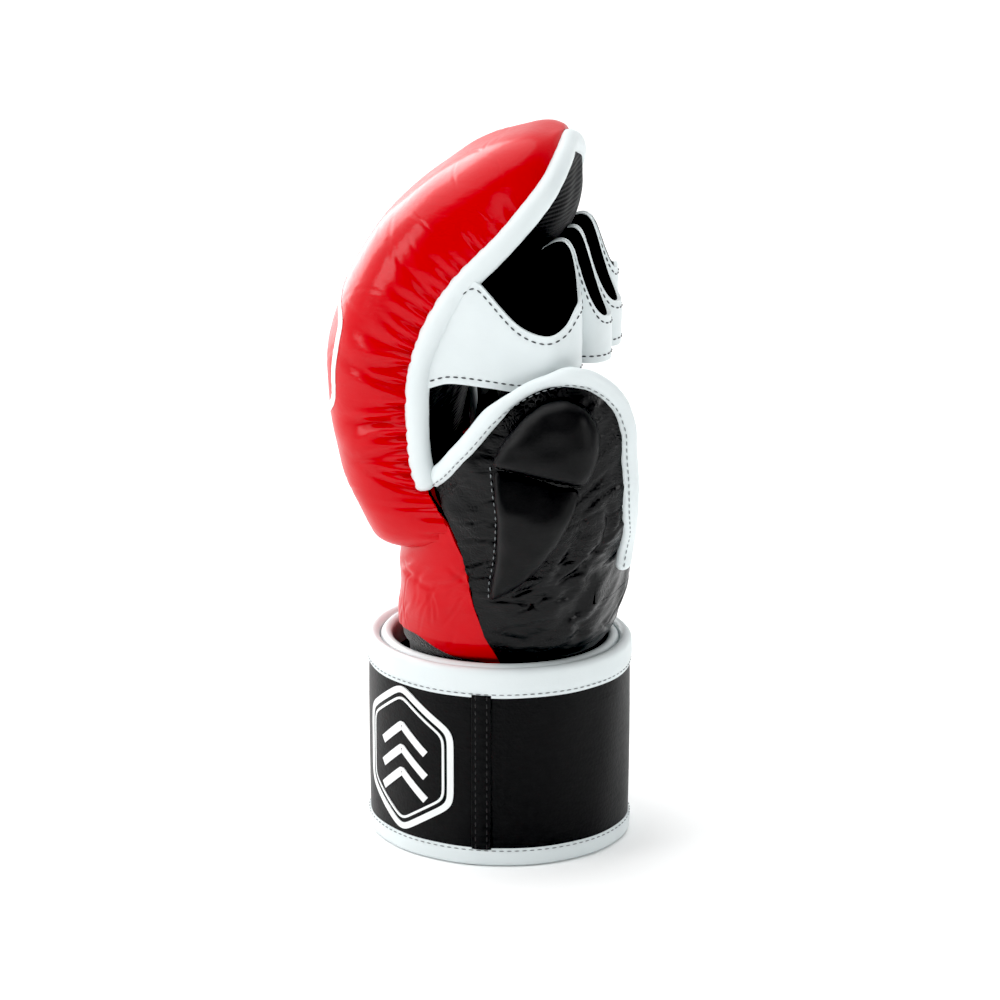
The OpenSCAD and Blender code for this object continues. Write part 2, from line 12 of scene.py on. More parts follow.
import bpy
import numpy as np
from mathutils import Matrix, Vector


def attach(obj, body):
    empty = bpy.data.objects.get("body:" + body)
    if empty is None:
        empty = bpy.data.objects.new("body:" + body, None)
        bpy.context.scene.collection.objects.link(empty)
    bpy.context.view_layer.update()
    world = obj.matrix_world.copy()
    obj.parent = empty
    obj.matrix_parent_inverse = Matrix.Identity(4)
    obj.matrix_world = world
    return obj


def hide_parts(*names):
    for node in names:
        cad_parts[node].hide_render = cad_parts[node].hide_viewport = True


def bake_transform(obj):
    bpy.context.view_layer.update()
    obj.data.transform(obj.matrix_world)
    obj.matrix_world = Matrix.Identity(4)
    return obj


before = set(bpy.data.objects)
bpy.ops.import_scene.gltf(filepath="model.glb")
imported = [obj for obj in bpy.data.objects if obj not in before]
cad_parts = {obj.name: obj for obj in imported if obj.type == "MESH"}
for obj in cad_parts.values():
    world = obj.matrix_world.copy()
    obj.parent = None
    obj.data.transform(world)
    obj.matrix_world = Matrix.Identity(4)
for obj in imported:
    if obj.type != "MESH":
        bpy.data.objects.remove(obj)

log = logging.getLogger("glove")
MM = 0.001
# Scale of a wave texture whose ribs stand a millimetre apart, on coordinates in metres.
RIB_SCALE = 1000 * 2 * math.pi / 20
# How far a printed film of ink stands off its leather, in millimetres.
INK = 0.22

Array = np.ndarray
Material = bpy.types.Material
Object = bpy.types.Object
Point = tuple[float, float, float]


# ---- Small tools ----------------------------------------------------------------------------


def linear(colour: str) -> tuple[float, float, float, float]:
    """Turns an sRGB hex colour into the linear one that a shader reads.

    Args:
        colour: Six hex digits, with or without a leading #.

    Returns:
        Red, green, blue and alpha.
    """
    digits = colour.lstrip("#")
    parts = [int(digits[k : k + 2], 16) / 255 for k in (0, 2, 4)]
    return tuple(c / 12.92 if c <= 0.04045 else ((c + 0.055) / 1.055) ** 2.4 for c in parts) + (1.0,)


def along(rows: Array, u: Array) -> Array:
    """Reads a table at fractional row numbers, on a smooth curve through its rows.

    Args:
        rows: The table, one row of numbers per station.
        u: Row numbers, of any shape.

    Returns:
        The numbers of each row asked for, in a last axis.
    """
    last = len(rows) - 1
    k = np.clip(np.floor(u).astype(int), 0, last - 1)
    t = (u - k)[..., None]
    a, b, c, d = rows[np.maximum(k - 1, 0)], rows[k], rows[k + 1], rows[np.minimum(k + 2, last)]
    return 0.5 * (2 * b + (c - a) * t + (2 * a - 5 * b + 4 * c - d) * t**2 + (3 * b - a - 3 * c + d) * t**3)


def power(v: Array, p: Array | float) -> Array:
    """The size of v raised to p, with the sign of v."""
    return np.sign(v) * np.abs(v) ** p


def smoothstep(low: float, high: float, v: Array) -> Array:
    """Rises from 0 at low to 1 at high, with level ends."""
    t = np.clip((v - low) / (high - low), 0, 1)
    return t * t * (3 - 2 * t)


def normals_of(points: Array, closed: bool = False) -> Array:
    """Unit normals of a grid of points.

    Args:
        points: The grid, rows by columns by 3.
        closed: Whether each row runs round and joins itself.

    Returns:
        A grid of the same shape.
    """
    down = np.gradient(points, axis=0)
    if closed:
        across = (np.roll(points, -1, axis=1) - np.roll(points, 1, axis=1)) / 2
    else:
        across = np.gradient(points, axis=1)
    n = np.cross(across, down)
    return n / np.maximum(np.linalg.norm(n, axis=-1, keepdims=True), 1e-9)


def arc_lengths(line: Array) -> Array:
    """The distance along a line of points at each of them."""
    return np.concatenate([[0], np.cumsum(np.linalg.norm(np.diff(line, axis=0), axis=1))])


def resample(rows: Array, s: Array, wanted: Array) -> Array:
    """Reads rows of numbers, which stand at the distances s, at the distances wanted."""
    return np.stack([np.interp(wanted, s, rows[:, k]) for k in range(rows.shape[1])], axis=1)


def evenly(line: Array, count: int) -> Array:
    """The same line with a number of points an equal distance apart."""
    s = arc_lengths(line)
    return resample(line, s, np.linspace(0, s[-1], count))


def heading(line: Array) -> Array:
    """Unit directions along a line of points."""
    t = np.gradient(line, axis=0)
    return t / np.linalg.norm(t, axis=1, keepdims=True)


def ease(line: Array, rounds: int) -> None:
    """Smooths a line of points in place, with its two ends held."""
    for _ in range(rounds):
        line[1:-1] = (line[:-2] + 2 * line[1:-1] + line[2:]) / 4


def table(*rows: Sequence[float]) -> Array:
    """A dataclass field that holds a table of numbers."""
    return field(default_factory=lambda: np.array(rows, float))


def smooth_line(points: Sequence[Sequence[float]], count: int) -> Array:
    """A smooth curve through a few points, as evenly spaced points."""
    rows = np.array(points, float)
    return evenly(along(rows, np.linspace(0, len(rows) - 1, count * 3)), count)


@dataclass(frozen=True)
class Creases:
    """Short soft folds scattered over a surface that is laid out flat in millimetres.

    Attributes:
        seed: Starts the scatter.
        count: How many folds there are.
        area: Lowest and highest place of their middles: ((s, t), (s, t)).
        length: Shortest and longest half length.
        width: Half width of the valley.
        depth: Greatest depth.
        lean: Middle direction in degrees from the s axis, and the spread round it.
    """

    seed: int
    count: int
    area: tuple[tuple[float, float], tuple[float, float]]
    length: tuple[float, float] = (5, 12)
    width: float = 1.1
    depth: float = 0.7
    lean: tuple[float, float] = (0, 20)

    def height(self, s: Array, t: Array) -> Array:
        """The height of the surface at each place.

        Args:
            s: Place along the first axis.
            t: Place along the second.

        Returns:
            The height: valleys, with a slight puff on both sides.
        """
        rng = np.random.default_rng(self.seed)
        total = np.zeros(np.broadcast(s, t).shape)
        (s0, t0), (s1, t1) = self.area
        for _ in range(self.count):
            cs, ct = rng.uniform(s0, s1), rng.uniform(t0, t1)
            angle = math.radians(self.lean[0] + rng.normal() * self.lean[1])
            half, deep = rng.uniform(*self.length), self.depth * rng.uniform(0.4, 1)
            wide = self.width * rng.uniform(0.7, 1.5)
            bend = rng.normal() * 0.02
            a = (s - cs) * math.cos(angle) + (t - ct) * math.sin(angle)
            b = -(s - cs) * math.sin(angle) + (t - ct) * math.cos(angle) - bend * a * a
            fade = np.exp(-((a / half) ** 4))
            x = (b / wide) ** 2
            total += deep * fade * (0.45 * np.exp(-x / 9) - np.exp(-x))
        return total


def undulation(x: Array, y: Array, z: Array, size: float, seed: float) -> Array:
    """Slow, irregular swelling between -1 and 1, about `size` millimetres from hill to hill."""
    k = 2 * math.pi / size
    a = np.sin(k * (0.83 * x + 0.41 * z) + seed) * np.cos(k * (0.57 * y - 0.62 * z) + 1.7 * seed)
    b = np.sin(k * 1.9 * (0.31 * x - 0.74 * z + 0.5 * y) + 2.3 * seed)
    return 0.65 * a + 0.35 * b


# ---- Meshes ---------------------------------------------------------------------------------


def new_object(name: str, points: Array, faces: list[tuple[int, ...]], sharp: float = 50) -> Object:
    """Makes a smooth-shaded object from points in millimetres.

    Args:
        name: The piece's name.
        points: One row of three per vertex.
        faces: Vertex numbers of each face.
        sharp: Edges that turn by more degrees than this stay sharp.

    Returns:
        The object, at the origin.
    """
    mesh = bpy.data.meshes.new(name)
    mesh.from_pydata((points * MM).tolist(), [], faces)
    mesh.validate()
    mesh.shade_smooth()
    mesh.set_sharp_from_angle(angle=math.radians(sharp))
    obj = bpy.data.objects.new(name, mesh)
    bpy.context.scene.collection.objects.link(obj)
    return obj


def grid_faces(rows: int, columns: int, base: int, turn: bool, closed: bool) -> list[tuple[int, ...]]:
    """Four-sided faces over a grid of vertices numbered row by row from base.

    Args:
        rows: Rows of the grid.
        columns: Points in each row.
        base: Number of the first vertex.
        turn: Whether the faces point the other way.
        closed: Whether each row joins itself.

    Returns:
        The faces.
    """
    faces = []
    for i in range(rows - 1):
        for j in range(columns if closed else columns - 1):
            k = (j + 1) % columns
            this, below = base + i * columns, base + (i + 1) * columns
            face = (this + j, this + k, below + k, below + j)
            faces.append(face[::-1] if turn else face)
    return faces


def shell(
    name: str, outer: Array, thickness: float, closed: bool = False, round_edge: float = 0.45
) -> Object:
    """A sheet of leather or cloth: a grid of outside points and a thickness inwards, with rounded edges.

    Args:
        name: The piece's name.
        outer: Grid of outside points whose normals_of point outwards.
        thickness: Thickness in millimetres.
        closed: Whether each row runs round and joins itself.
        round_edge: Radius at the cut edges, 0 for none.

    Returns:
        The object.
    """
    m, n = outer.shape[:2]
    inner = outer - normals_of(outer, closed) * thickness
    size = m * n
    faces = grid_faces(m, n, 0, False, closed) + grid_faces(m, n, size, True, closed)
    for j in range(n if closed else n - 1):
        k, last = (j + 1) % n, (m - 1) * n
        faces.append((k, j, size + j, size + k))
        faces.append((last + j, last + k, size + last + k, size + last + j))
    if not closed:
        for i in range(m - 1):
            a, b, c, d = i * n, (i + 1) * n, i * n + n - 1, (i + 1) * n + n - 1
            faces.append((a, b, size + b, size + a))
            faces.append((d, c, size + c, size + d))
    obj = new_object(name, np.concatenate([outer.reshape(-1, 3), inner.reshape(-1, 3)]), faces)
    point_outwards(obj)
    if round_edge:
        bevel = obj.modifiers.new("Edge", "BEVEL")
        bevel.width, bevel.segments, bevel.limit_method = round_edge * MM, 2, "ANGLE"
        bevel.angle_limit = math.radians(55)
        bevel.use_clamp_overlap = True
        settle(obj)
    return obj


def loft(name: str, rings: Array) -> Object:
    """A closed solid through a stack of rings, each closed by a fan at its end.

    Args:
        name: The piece's name.
        rings: The rings, stacked.

    Returns:
        The object.
    """
    m, n = rings.shape[:2]
    ends = np.stack([rings[0].mean(axis=0), rings[-1].mean(axis=0)])
    faces = grid_faces(m, n, 0, False, True)
    for j in range(n):
        k, last = (j + 1) % n, (m - 1) * n
        faces.append((m * n, k, j))
        faces.append((m * n + 1, last + j, last + k))
    obj = new_object(name, np.concatenate([rings.reshape(-1, 3), ends]), faces)
    point_outwards(obj)
    return obj


def point_outwards(obj: Object) -> None:
    """Turns a closed mesh the right way out, by the sign of its volume.

    Args:
        obj: The object.
    """
    mesh = obj.data
    mesh.calc_loop_triangles()
    tris = np.empty(len(mesh.loop_triangles) * 3, int)
    mesh.loop_triangles.foreach_get("vertices", tris)
    points = np.empty(len(mesh.vertices) * 3)
    mesh.vertices.foreach_get("co", points)
    a, b, c = (points.reshape(-1, 3)[tris.reshape(-1, 3)[:, k]] for k in range(3))
    if np.einsum("ij,ij->i", a, np.cross(b, c)).sum() < 0:
        mesh.flip_normals()


def settle(obj: Object) -> None:
    """Turns the object's modifiers into plain mesh.

    Args:
        obj: The object.
    """
    deps = bpy.context.evaluated_depsgraph_get()
    mesh = bpy.data.meshes.new_from_object(
        obj.evaluated_get(deps), preserve_all_data_layers=True, depsgraph=deps
    )
    mesh.name = obj.data.name
    obj.modifiers.clear()
    obj.data = mesh


def tube(
    name: str, path: Array, across: Array, wide: Array | float, thick: Array | float, sides: int = 20
) -> Object:
    """A rolled binding: an oval tube along a path, with rounded ends.

    Args:
        name: The piece's name.
        path: Its middle line.
        across: At each point, the direction that the oval's width lies along.
        wide: Half width along `across`.
        thick: Half thickness the other way.
        sides: Points round the oval.

    Returns:
        The object.
    """
    t = heading(path)
    side = np.cross(t, across)
    side /= np.linalg.norm(side, axis=1, keepdims=True)
    up = np.cross(side, t)
    n = len(path)
    s = arc_lengths(path)
    reach = 3.0
    ends = np.minimum(s, s[-1] - s)
    swell = np.sqrt(np.clip(1 - (1 - np.clip(ends / reach, 0, 1)) ** 2, 0.02, 1))
    turn = np.linspace(0, 2 * math.pi, sides, endpoint=False)
    w = (np.ones(n) * wide * swell)[:, None, None]
    h = (np.ones(n) * thick * swell)[:, None, None]
    c, d = np.cos(turn)[None, :, None], np.sin(turn)[None, :, None]
    return loft(name, path[:, None] + w * c * up[:, None] + h * d * side[:, None])


class Surface:
    """A grid of points that other pieces are laid on."""

    def __init__(self, points: Array) -> None:
        """Keeps the points and works out their normals."""
        self.points = points
        self.normals = normals_of(points)

    def at(self, i: Array, j: Array, lift: float = 0) -> Array:
        """Places at fractional row and column numbers, lifted off the surface.

        Args:
            i: Row numbers.
            j: Column numbers.
            lift: Distance off the surface.

        Returns:
            The points.
        """
        m, n = self.points.shape[:2]
        i, j = np.clip(i, 0, m - 1.001), np.clip(j, 0, n - 1.001)
        a, b = np.floor(i).astype(int), np.floor(j).astype(int)
        fi, fj = (i - a)[..., None], (j - b)[..., None]

        def mix(g: Array) -> Array:
            """The mean of a grid's four nearest values, by how near each is."""
            above = g[a, b] * (1 - fj) + g[a, b + 1] * fj
            below = g[a + 1, b] * (1 - fj) + g[a + 1, b + 1] * fj
            return above * (1 - fi) + below * fi

        return mix(self.points) + mix(self.normals) * lift


def ribbon(line: Array, width: float) -> tuple[Array, Array]:
    """The two sides of a flat ribbon along a line in a plane."""
    t = heading(line)
    side = np.stack([-t[:, 1], t[:, 0]], axis=1)
    return line - side * width / 2, line + side * width / 2


# ---- How a piece moves ----------------------------------------------------------------------


@dataclass(frozen=True)
class Moves:
    """What a piece follows: one body; a piece given two bodies and a bend between them follows neither and
    does not bend.

    Attributes:
        body: The body it rides on, or the first of two.
        other: The second body, if it bends.
        start: Where the bend starts, in millimetres.
        end: Where it ends.
    """

    body: str
    other: str = ""
    start: Point = (0, 0, 0)
    end: Point = (0, 0, 0)

    def give(self, obj: Object) -> None:
        """Makes an object follow its one body; a piece given two bodies only has its placement baked into its
        mesh.
        """
        if self.other:
            [v * MM for v in self.start]
            [v * MM for v in self.end]
            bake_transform(obj)
        else:
            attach(obj, self.body)


class Follow(Enum):
    """The ways that pieces of the glove move."""

    WRIST = Moves("wrist")
    HAND = Moves("hand")
    FINGERS = Moves("fingers")
    THUMB = Moves("thumb_base")
    TIP = Moves("thumb_tip")
    FLAP_ROOT = Moves("flap_root")
    FLAP_TIP = Moves("flap_tip")
    SLEEVE = Moves("wrist", "hand", (6, 0, 82), (6, 0, 92))
    PAD = Moves("hand", "fingers", (-15, 0, 154), (-15, 0, 178))
    THUMB_FOLD = Moves("hand", "thumb_base", (26, 0, 100.5), (26, 0, 108))
    CREASE = Moves("thumb_base", "thumb_tip", (26, 0, 152), (27.3, 0, 160))


@dataclass
class Piece:
    """A finished piece, to be dressed and handed to the frame.

    Attributes:
        obj: The object.
        finish: Its material.
        slot: Its slot's name, which is only logged.
        follow: How it moves.
        nodes: The CAD nodes that it stands for.
        padded: How full it is, if it is a pad; not used.
    """

    obj: Object
    finish: Material
    slot: str
    follow: Moves
    nodes: tuple[str, ...] = ()
    padded: float | None = None

    def hand_over(self) -> None:
        """Dresses the piece, says how it moves and reports it."""
        if not self.obj.data.materials:
            self.obj.data.materials.append(self.finish)
        self.follow.give(self.obj)
        if self.nodes:
            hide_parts(*self.nodes)
        log.info("%s: %d faces, %s", self.obj.name, len(self.obj.data.polygons), self.slot)


# ---- Finishes -------------------------------------------------------------------------------


def add(
    tree: bpy.types.NodeTree, kind: str, links: dict[str | int, object] | None = None, **settings: object
) -> bpy.types.Node:
    """Adds a node, with its settings and its inputs.

    Args:
        tree: The tree to add it to.
        kind: The node's type name.
        links: For each input, the socket that feeds it or its value.
        settings: The node's own settings.

    Returns:
        The node.
    """
    node = tree.nodes.new(kind)
    for key, value in settings.items():
        setattr(node, key, value)
    for key, value in (links or {}).items():
        if isinstance(value, bpy.types.NodeSocket):
            tree.links.new(value, node.inputs[key])
        else:
            node.inputs[key].default_value = value
    return node


def blank_material(name: str) -> tuple[Material, bpy.types.NodeTree, bpy.types.Node]:
    """A material with an empty tree and its output node.

    Args:
        name: The material's name.

    Returns:
        The material, its tree and the output node.
    """
    material = bpy.data.materials.new(name)
    material.use_nodes = True
    tree = material.node_tree
    tree.nodes.clear()
    return material, tree, tree.nodes.new("ShaderNodeOutputMaterial")


@dataclass(frozen=True)
class FinishedLeather:
    """Pigmented cowhide with a clear topcoat: a fine pebbled grain under gloss.

    Attributes:
        name: The material's name.
        colour: Its main colour.
        worn: Its colour in the hollows of the grain.
        roughness: Of the surface under the topcoat.
        coat: Strength of the topcoat.
        coat_roughness: Roughness of the topcoat.
        grain: Width of a grain cell in millimetres.
        relief: Strength of the grain's bump.
        ripple: Strength of the soft handling creases.
        crackle: Strength of the fine broken wrinkles of supple, worked leather.
        specular: Strength of the reflection under the topcoat.
    """

    name: str
    colour: str
    worn: str
    roughness: float = 0.42
    coat: float = 0.35
    coat_roughness: float = 0.18
    grain: float = 1.1
    relief: float = 0.10
    ripple: float = 0.12
    crackle: float = 0.0
    specular: float = 0.5

    def make(self) -> Material:
        """Builds the material."""
        material, tree, out = blank_material(self.name)
        place = add(tree, "ShaderNodeTexCoord").outputs["Object"]
        grain = add(tree, "ShaderNodeTexVoronoi", {"Vector": place, "Scale": 1000 / self.grain}, feature="F1")
        cells = add(
            tree, "ShaderNodeTexNoise", {"Vector": place, "Scale": 420.0, "Detail": 4.0, "Roughness": 0.6}
        )
        broad = add(
            tree, "ShaderNodeTexNoise", {"Vector": place, "Scale": 38.0, "Detail": 3.0, "Distortion": 0.8}
        )
        fold = add(tree, "ShaderNodeMapping", {"Vector": place, "Scale": (26.0, 26.0, 120.0)})
        creases = add(
            tree, "ShaderNodeTexNoise",
            {"Vector": fold.outputs[0], "Scale": 1.4, "Detail": 5.0, "Roughness": 0.62, "Distortion": 0.6},
        )
        tone = add(
            tree, "ShaderNodeMix", {"Factor": broad.outputs["Fac"], "A": 0.0, "B": 0.55}, data_type="FLOAT"
        )
        shades = {"A": linear(self.colour), "B": linear(self.worn)}
        colour = add(tree, "ShaderNodeMix", {0: tone.outputs[0], **shades}, data_type="RGBA")
        rough = add(
            tree, "ShaderNodeMapRange",
            {"Value": cells.outputs["Fac"], "To Min": self.roughness - 0.06, "To Max": self.roughness + 0.08},
        )
        warp = add(tree, "ShaderNodeTexNoise", {"Vector": place, "Scale": 110.0, "Detail": 3.0})
        bent = add(
            tree, "ShaderNodeMix", {"Factor": 0.012, "A": place, "B": warp.outputs["Color"]},
            data_type="VECTOR",
        )
        net = add(
            tree, "ShaderNodeTexVoronoi",
            {"Vector": bent.outputs["Result"], "Scale": 480.0, "Randomness": 1.0}, feature="DISTANCE_TO_EDGE",
        )
        valley = add(tree, "ShaderNodeMapRange", {"Value": net.outputs["Distance"], "From Max": 0.16})
        patch = add(
            tree, "ShaderNodeMapRange",
            {"Value": broad.outputs["Fac"], "From Min": 0.42, "From Max": 0.6, "To Max": self.crackle},
        )
        worked = add(
            tree, "ShaderNodeBump",
            {"Height": valley.outputs[0], "Strength": patch.outputs[0], "Distance": 0.0006},
        )
        soft = add(
            tree, "ShaderNodeBump",
            {
                "Height": creases.outputs["Fac"], "Strength": self.ripple, "Distance": 0.0012,
                "Normal": worked.outputs[0],
            },
        )
        fine = add(
            tree, "ShaderNodeBump",
            {
                "Height": grain.outputs["Distance"], "Strength": self.relief, "Distance": 0.0003,
                "Normal": soft.outputs[0],
            },
        )
        skin = add(
            tree, "ShaderNodeBump",
            {
                "Height": cells.outputs["Fac"], "Strength": self.relief, "Distance": 0.0002,
                "Normal": fine.outputs[0],
            },
        )
        shader = add(
            tree, "ShaderNodeBsdfPrincipled",
            {
                "Base Color": colour.outputs["Result"], "Roughness": rough.outputs[0], "IOR": 1.5,
                "Specular IOR Level": self.specular, "Coat Weight": self.coat,
                "Coat Roughness": self.coat_roughness, "Coat Normal": soft.outputs[0],
                "Normal": skin.outputs[0],
            },
        )
        tree.links.new(shader.outputs[0], out.inputs[0])
        return material


@dataclass(frozen=True)
class RibbedMesh:
    """Polyester spacer mesh: fine ribs across the hand, with a dull sheen on their tops and painted shade
    between them.

    Attributes:
        name: The material's name.
        colour: Colour of the ribs.
        deep: Painted shade: the darker colour laid between the ribs, where shade falls.
        pitch: Distance between ribs in millimetres, drawn as coarse as it needs to show.
        roughness: Roughness of the yarn.
    """

    name: str
    colour: str
    deep: str
    pitch: float = 1.6
    roughness: float = 0.6

    def make(self) -> Material:
        """Builds the material."""
        material, tree, out = blank_material(self.name)
        place = add(tree, "ShaderNodeTexCoord").outputs["Object"]
        ribs = add(
            tree, "ShaderNodeTexWave",
            {
                "Vector": place, "Scale": RIB_SCALE / self.pitch, "Distortion": 0.6, "Detail": 2.0,
                "Detail Scale": 6.0,
            },
            wave_type="BANDS", bands_direction="Z",
        )
        yarn = add(tree, "ShaderNodeTexNoise", {"Vector": place, "Scale": 900.0, "Detail": 3.0})
        # Painted shade: the valleys between the ribs take the darker colour, the ribs' tops the lighter one.
        shades = {"A": linear(self.deep), "B": linear(self.colour)}
        colour = add(tree, "ShaderNodeMix", {0: ribs.outputs["Fac"], **shades}, data_type="RGBA")
        rise = add(
            tree, "ShaderNodeBump", {"Height": ribs.outputs["Fac"], "Strength": 0.5, "Distance": 0.0005}
        )
        fuzz = add(
            tree, "ShaderNodeBump",
            {"Height": yarn.outputs["Fac"], "Strength": 0.3, "Distance": 0.0002, "Normal": rise.outputs[0]},
        )
        shader = add(
            tree, "ShaderNodeBsdfPrincipled",
            {
                "Base Color": colour.outputs["Result"], "Roughness": self.roughness,
                "Specular IOR Level": 0.12, "Sheen Weight": 0.04, "Sheen Roughness": 0.4,
                "Normal": fuzz.outputs[0],
            },
        )
        tree.links.new(shader.outputs[0], out.inputs[0])
        return material


@dataclass(frozen=True)
class PileTape:
    """Brushed nylon loop or moulded hook tape: a dense short pile that scatters light.

    Attributes:
        name: The material's name.
        colour: Colour of the pile.
        tuft: Width of a tuft in millimetres.
        relief: Strength of the pile's bump.
        sheen: Strength of the soft edge glow.
    """

    name: str
    colour: str
    tuft: float = 0.7
    relief: float = 0.8
    sheen: float = 0.4

    def make(self) -> Material:
        """Builds the material."""
        material, tree, out = blank_material(self.name)
        place = add(tree, "ShaderNodeTexCoord").outputs["Object"]
        tufts = add(tree, "ShaderNodeTexVoronoi", {"Vector": place, "Scale": 1000 / self.tuft}, feature="F1")
        clumps = add(
            tree, "ShaderNodeTexNoise", {"Vector": place, "Scale": 260.0, "Detail": 5.0, "Roughness": 0.7}
        )
        low = add(
            tree, "ShaderNodeBump",
            {"Height": clumps.outputs["Fac"], "Strength": self.relief, "Distance": 0.0008},
        )
        high = add(
            tree, "ShaderNodeBump",
            {
                "Height": tufts.outputs["Distance"], "Strength": self.relief, "Distance": 0.0005,
                "Normal": low.outputs[0],
            },
        )
        shade = add(
            tree, "ShaderNodeMapRange", {"Value": clumps.outputs["Fac"], "To Min": 0.5, "To Max": 1.4}
        )
        shades = {"A": linear(self.colour), "B": shade.outputs[0]}
        colour = add(tree, "ShaderNodeMix", {0: 1.0, **shades}, data_type="RGBA", blend_type="MULTIPLY")
        shader = add(
            tree, "ShaderNodeBsdfPrincipled",
            {
                "Base Color": colour.outputs["Result"], "Roughness": 0.9, "Sheen Weight": self.sheen,
                "Normal": high.outputs[0],
            },
        )
        tree.links.new(shader.outputs[0], out.inputs[0])
        return material


@dataclass(frozen=True)
class Thread:
    """Bonded nylon sewing thread: a smooth strand with a faint twist.

    Attributes:
        name: The material's name.
        colour: Its colour.
    """

    name: str
    colour: str

    def make(self) -> Material:
        """Builds the material."""
        material, tree, out = blank_material(self.name)
        place = add(tree, "ShaderNodeTexCoord").outputs["Object"]
        twist = add(tree, "ShaderNodeTexNoise", {"Vector": place, "Scale": 1500.0, "Detail": 1.0})
        bump = add(
            tree, "ShaderNodeBump", {"Height": twist.outputs["Fac"], "Strength": 0.4, "Distance": 0.0001}
        )
        shader = add(
            tree, "ShaderNodeBsdfPrincipled",
            {"Base Color": linear(self.colour), "Roughness": 0.45, "Normal": bump.outputs[0]},
        )
        tree.links.new(shader.outputs[0], out.inputs[0])
        return material


@dataclass(frozen=True)
class ScreenInk:
    """Plastisol ink printed on leather: an even film that fills the grain.

    Attributes:
        name: The material's name.
        colour: Its colour.
    """

    name: str
    colour: str

    def make(self) -> Material:
        """Builds the material."""
        material, tree, out = blank_material(self.name)
        place = add(tree, "ShaderNodeTexCoord").outputs["Object"]
        film = add(tree, "ShaderNodeTexNoise", {"Vector": place, "Scale": 500.0, "Detail": 3.0})
        rough = add(
            tree, "ShaderNodeMapRange", {"Value": film.outputs["Fac"], "To Min": 0.35, "To Max": 0.55}
        )
        bump = add(
            tree, "ShaderNodeBump", {"Height": film.outputs["Fac"], "Strength": 0.15, "Distance": 0.0002}
        )
        shader = add(
            tree, "ShaderNodeBsdfPrincipled",
            {"Base Color": linear(self.colour), "Roughness": rough.outputs[0], "Normal": bump.outputs[0]},
        )
        tree.links.new(shader.outputs[0], out.inputs[0])
        return material


def made(finish: FinishedLeather | RibbedMesh | PileTape | Thread | ScreenInk) -> Material:
    """A dataclass field that makes a finish's material when the finishes are made."""
    return field(default_factory=finish.make)


@dataclass
class Finishes:
    """Every material of the glove, made once."""

    # Dyed full-grain hide: a deep even red with a wet-looking coat over soft handling creases.
    red: Material = made(FinishedLeather(
        "red_gloss_cowhide", "#CC0312", "#A6020C", roughness=0.45, coat=0.34, coat_roughness=0.17, grain=1.3,
        relief=0.07, ripple=0.20, specular=0.10,
    ))
    # Stretched over the thumb pads, so that its creases are pulled out and its gloss is broad.
    smooth: Material = made(FinishedLeather(
        "black_smooth_cowhide", "#0E0E0F", "#09090A", roughness=0.50, coat=0.12, coat_roughness=0.38,
        grain=1.2, relief=0.08, ripple=0.10, specular=0.20,
    ))
    # The supple hide of the thumb side, broken all over into fine bright wrinkles.
    black: Material = made(FinishedLeather(
        "black_gloss_cowhide", "#0D0D0E", "#070708", roughness=0.34, coat=0.14, coat_roughness=0.18,
        grain=1.2, relief=0.14, ripple=0.50, crackle=0.34, specular=0.22,
    ))
    # The strap's stiffer hide: little coat, so it looks dull beside the rest.
    strap: Material = made(FinishedLeather(
        "black_matt_cowhide", "#111112", "#0A0A0B", roughness=0.50, coat=0.06, coat_roughness=0.35, grain=1.2,
        relief=0.18, ripple=0.18, specular=0.18,
    ))
    # Pigment-coated white hide: cool, close to even, with soft highlights along the rolled edges.
    white: Material = made(FinishedLeather(
        "white_gloss_cowhide", "#DFE6E7", "#CCD6D8", roughness=0.42, coat=0.15, coat_roughness=0.22,
        grain=1.3, relief=0.06, ripple=0.08, specular=0.35,
    ))
    # The second colour of each ribbed cloth (mesh, tricot, elastic) is painted shade between its ribs.
    mesh: Material = made(RibbedMesh("black_spacer_mesh", "#0B0B0D", "#020203"))
    tricot: Material = made(RibbedMesh("black_tricot_lining", "#0C0C0D", "#040405", 0.9, 0.75))
    pile: Material = made(PileTape("black_loop_pile", "#171718", 0.8, 0.9, 0.5))
    hooks: Material = made(PileTape("black_hook_tape", "#0E0E0F", 1.1, 1.0, 0.1))
    elastic: Material = made(RibbedMesh("black_woven_elastic", "#202022", "#0A0A0B", 1.2, 0.7))
    dark_thread: Material = made(Thread("charcoal_nylon_thread", "#3C4144"))
    black_thread: Material = made(Thread("black_nylon_thread", "#0C0C0D"))
    grey_thread: Material = made(Thread("grey_nylon_thread", "#7E8486"))
    ink: Material = made(ScreenInk("white_plastisol_ink", "#E9ECEC"))


# ---- Stitches -------------------------------------------------------------------------------


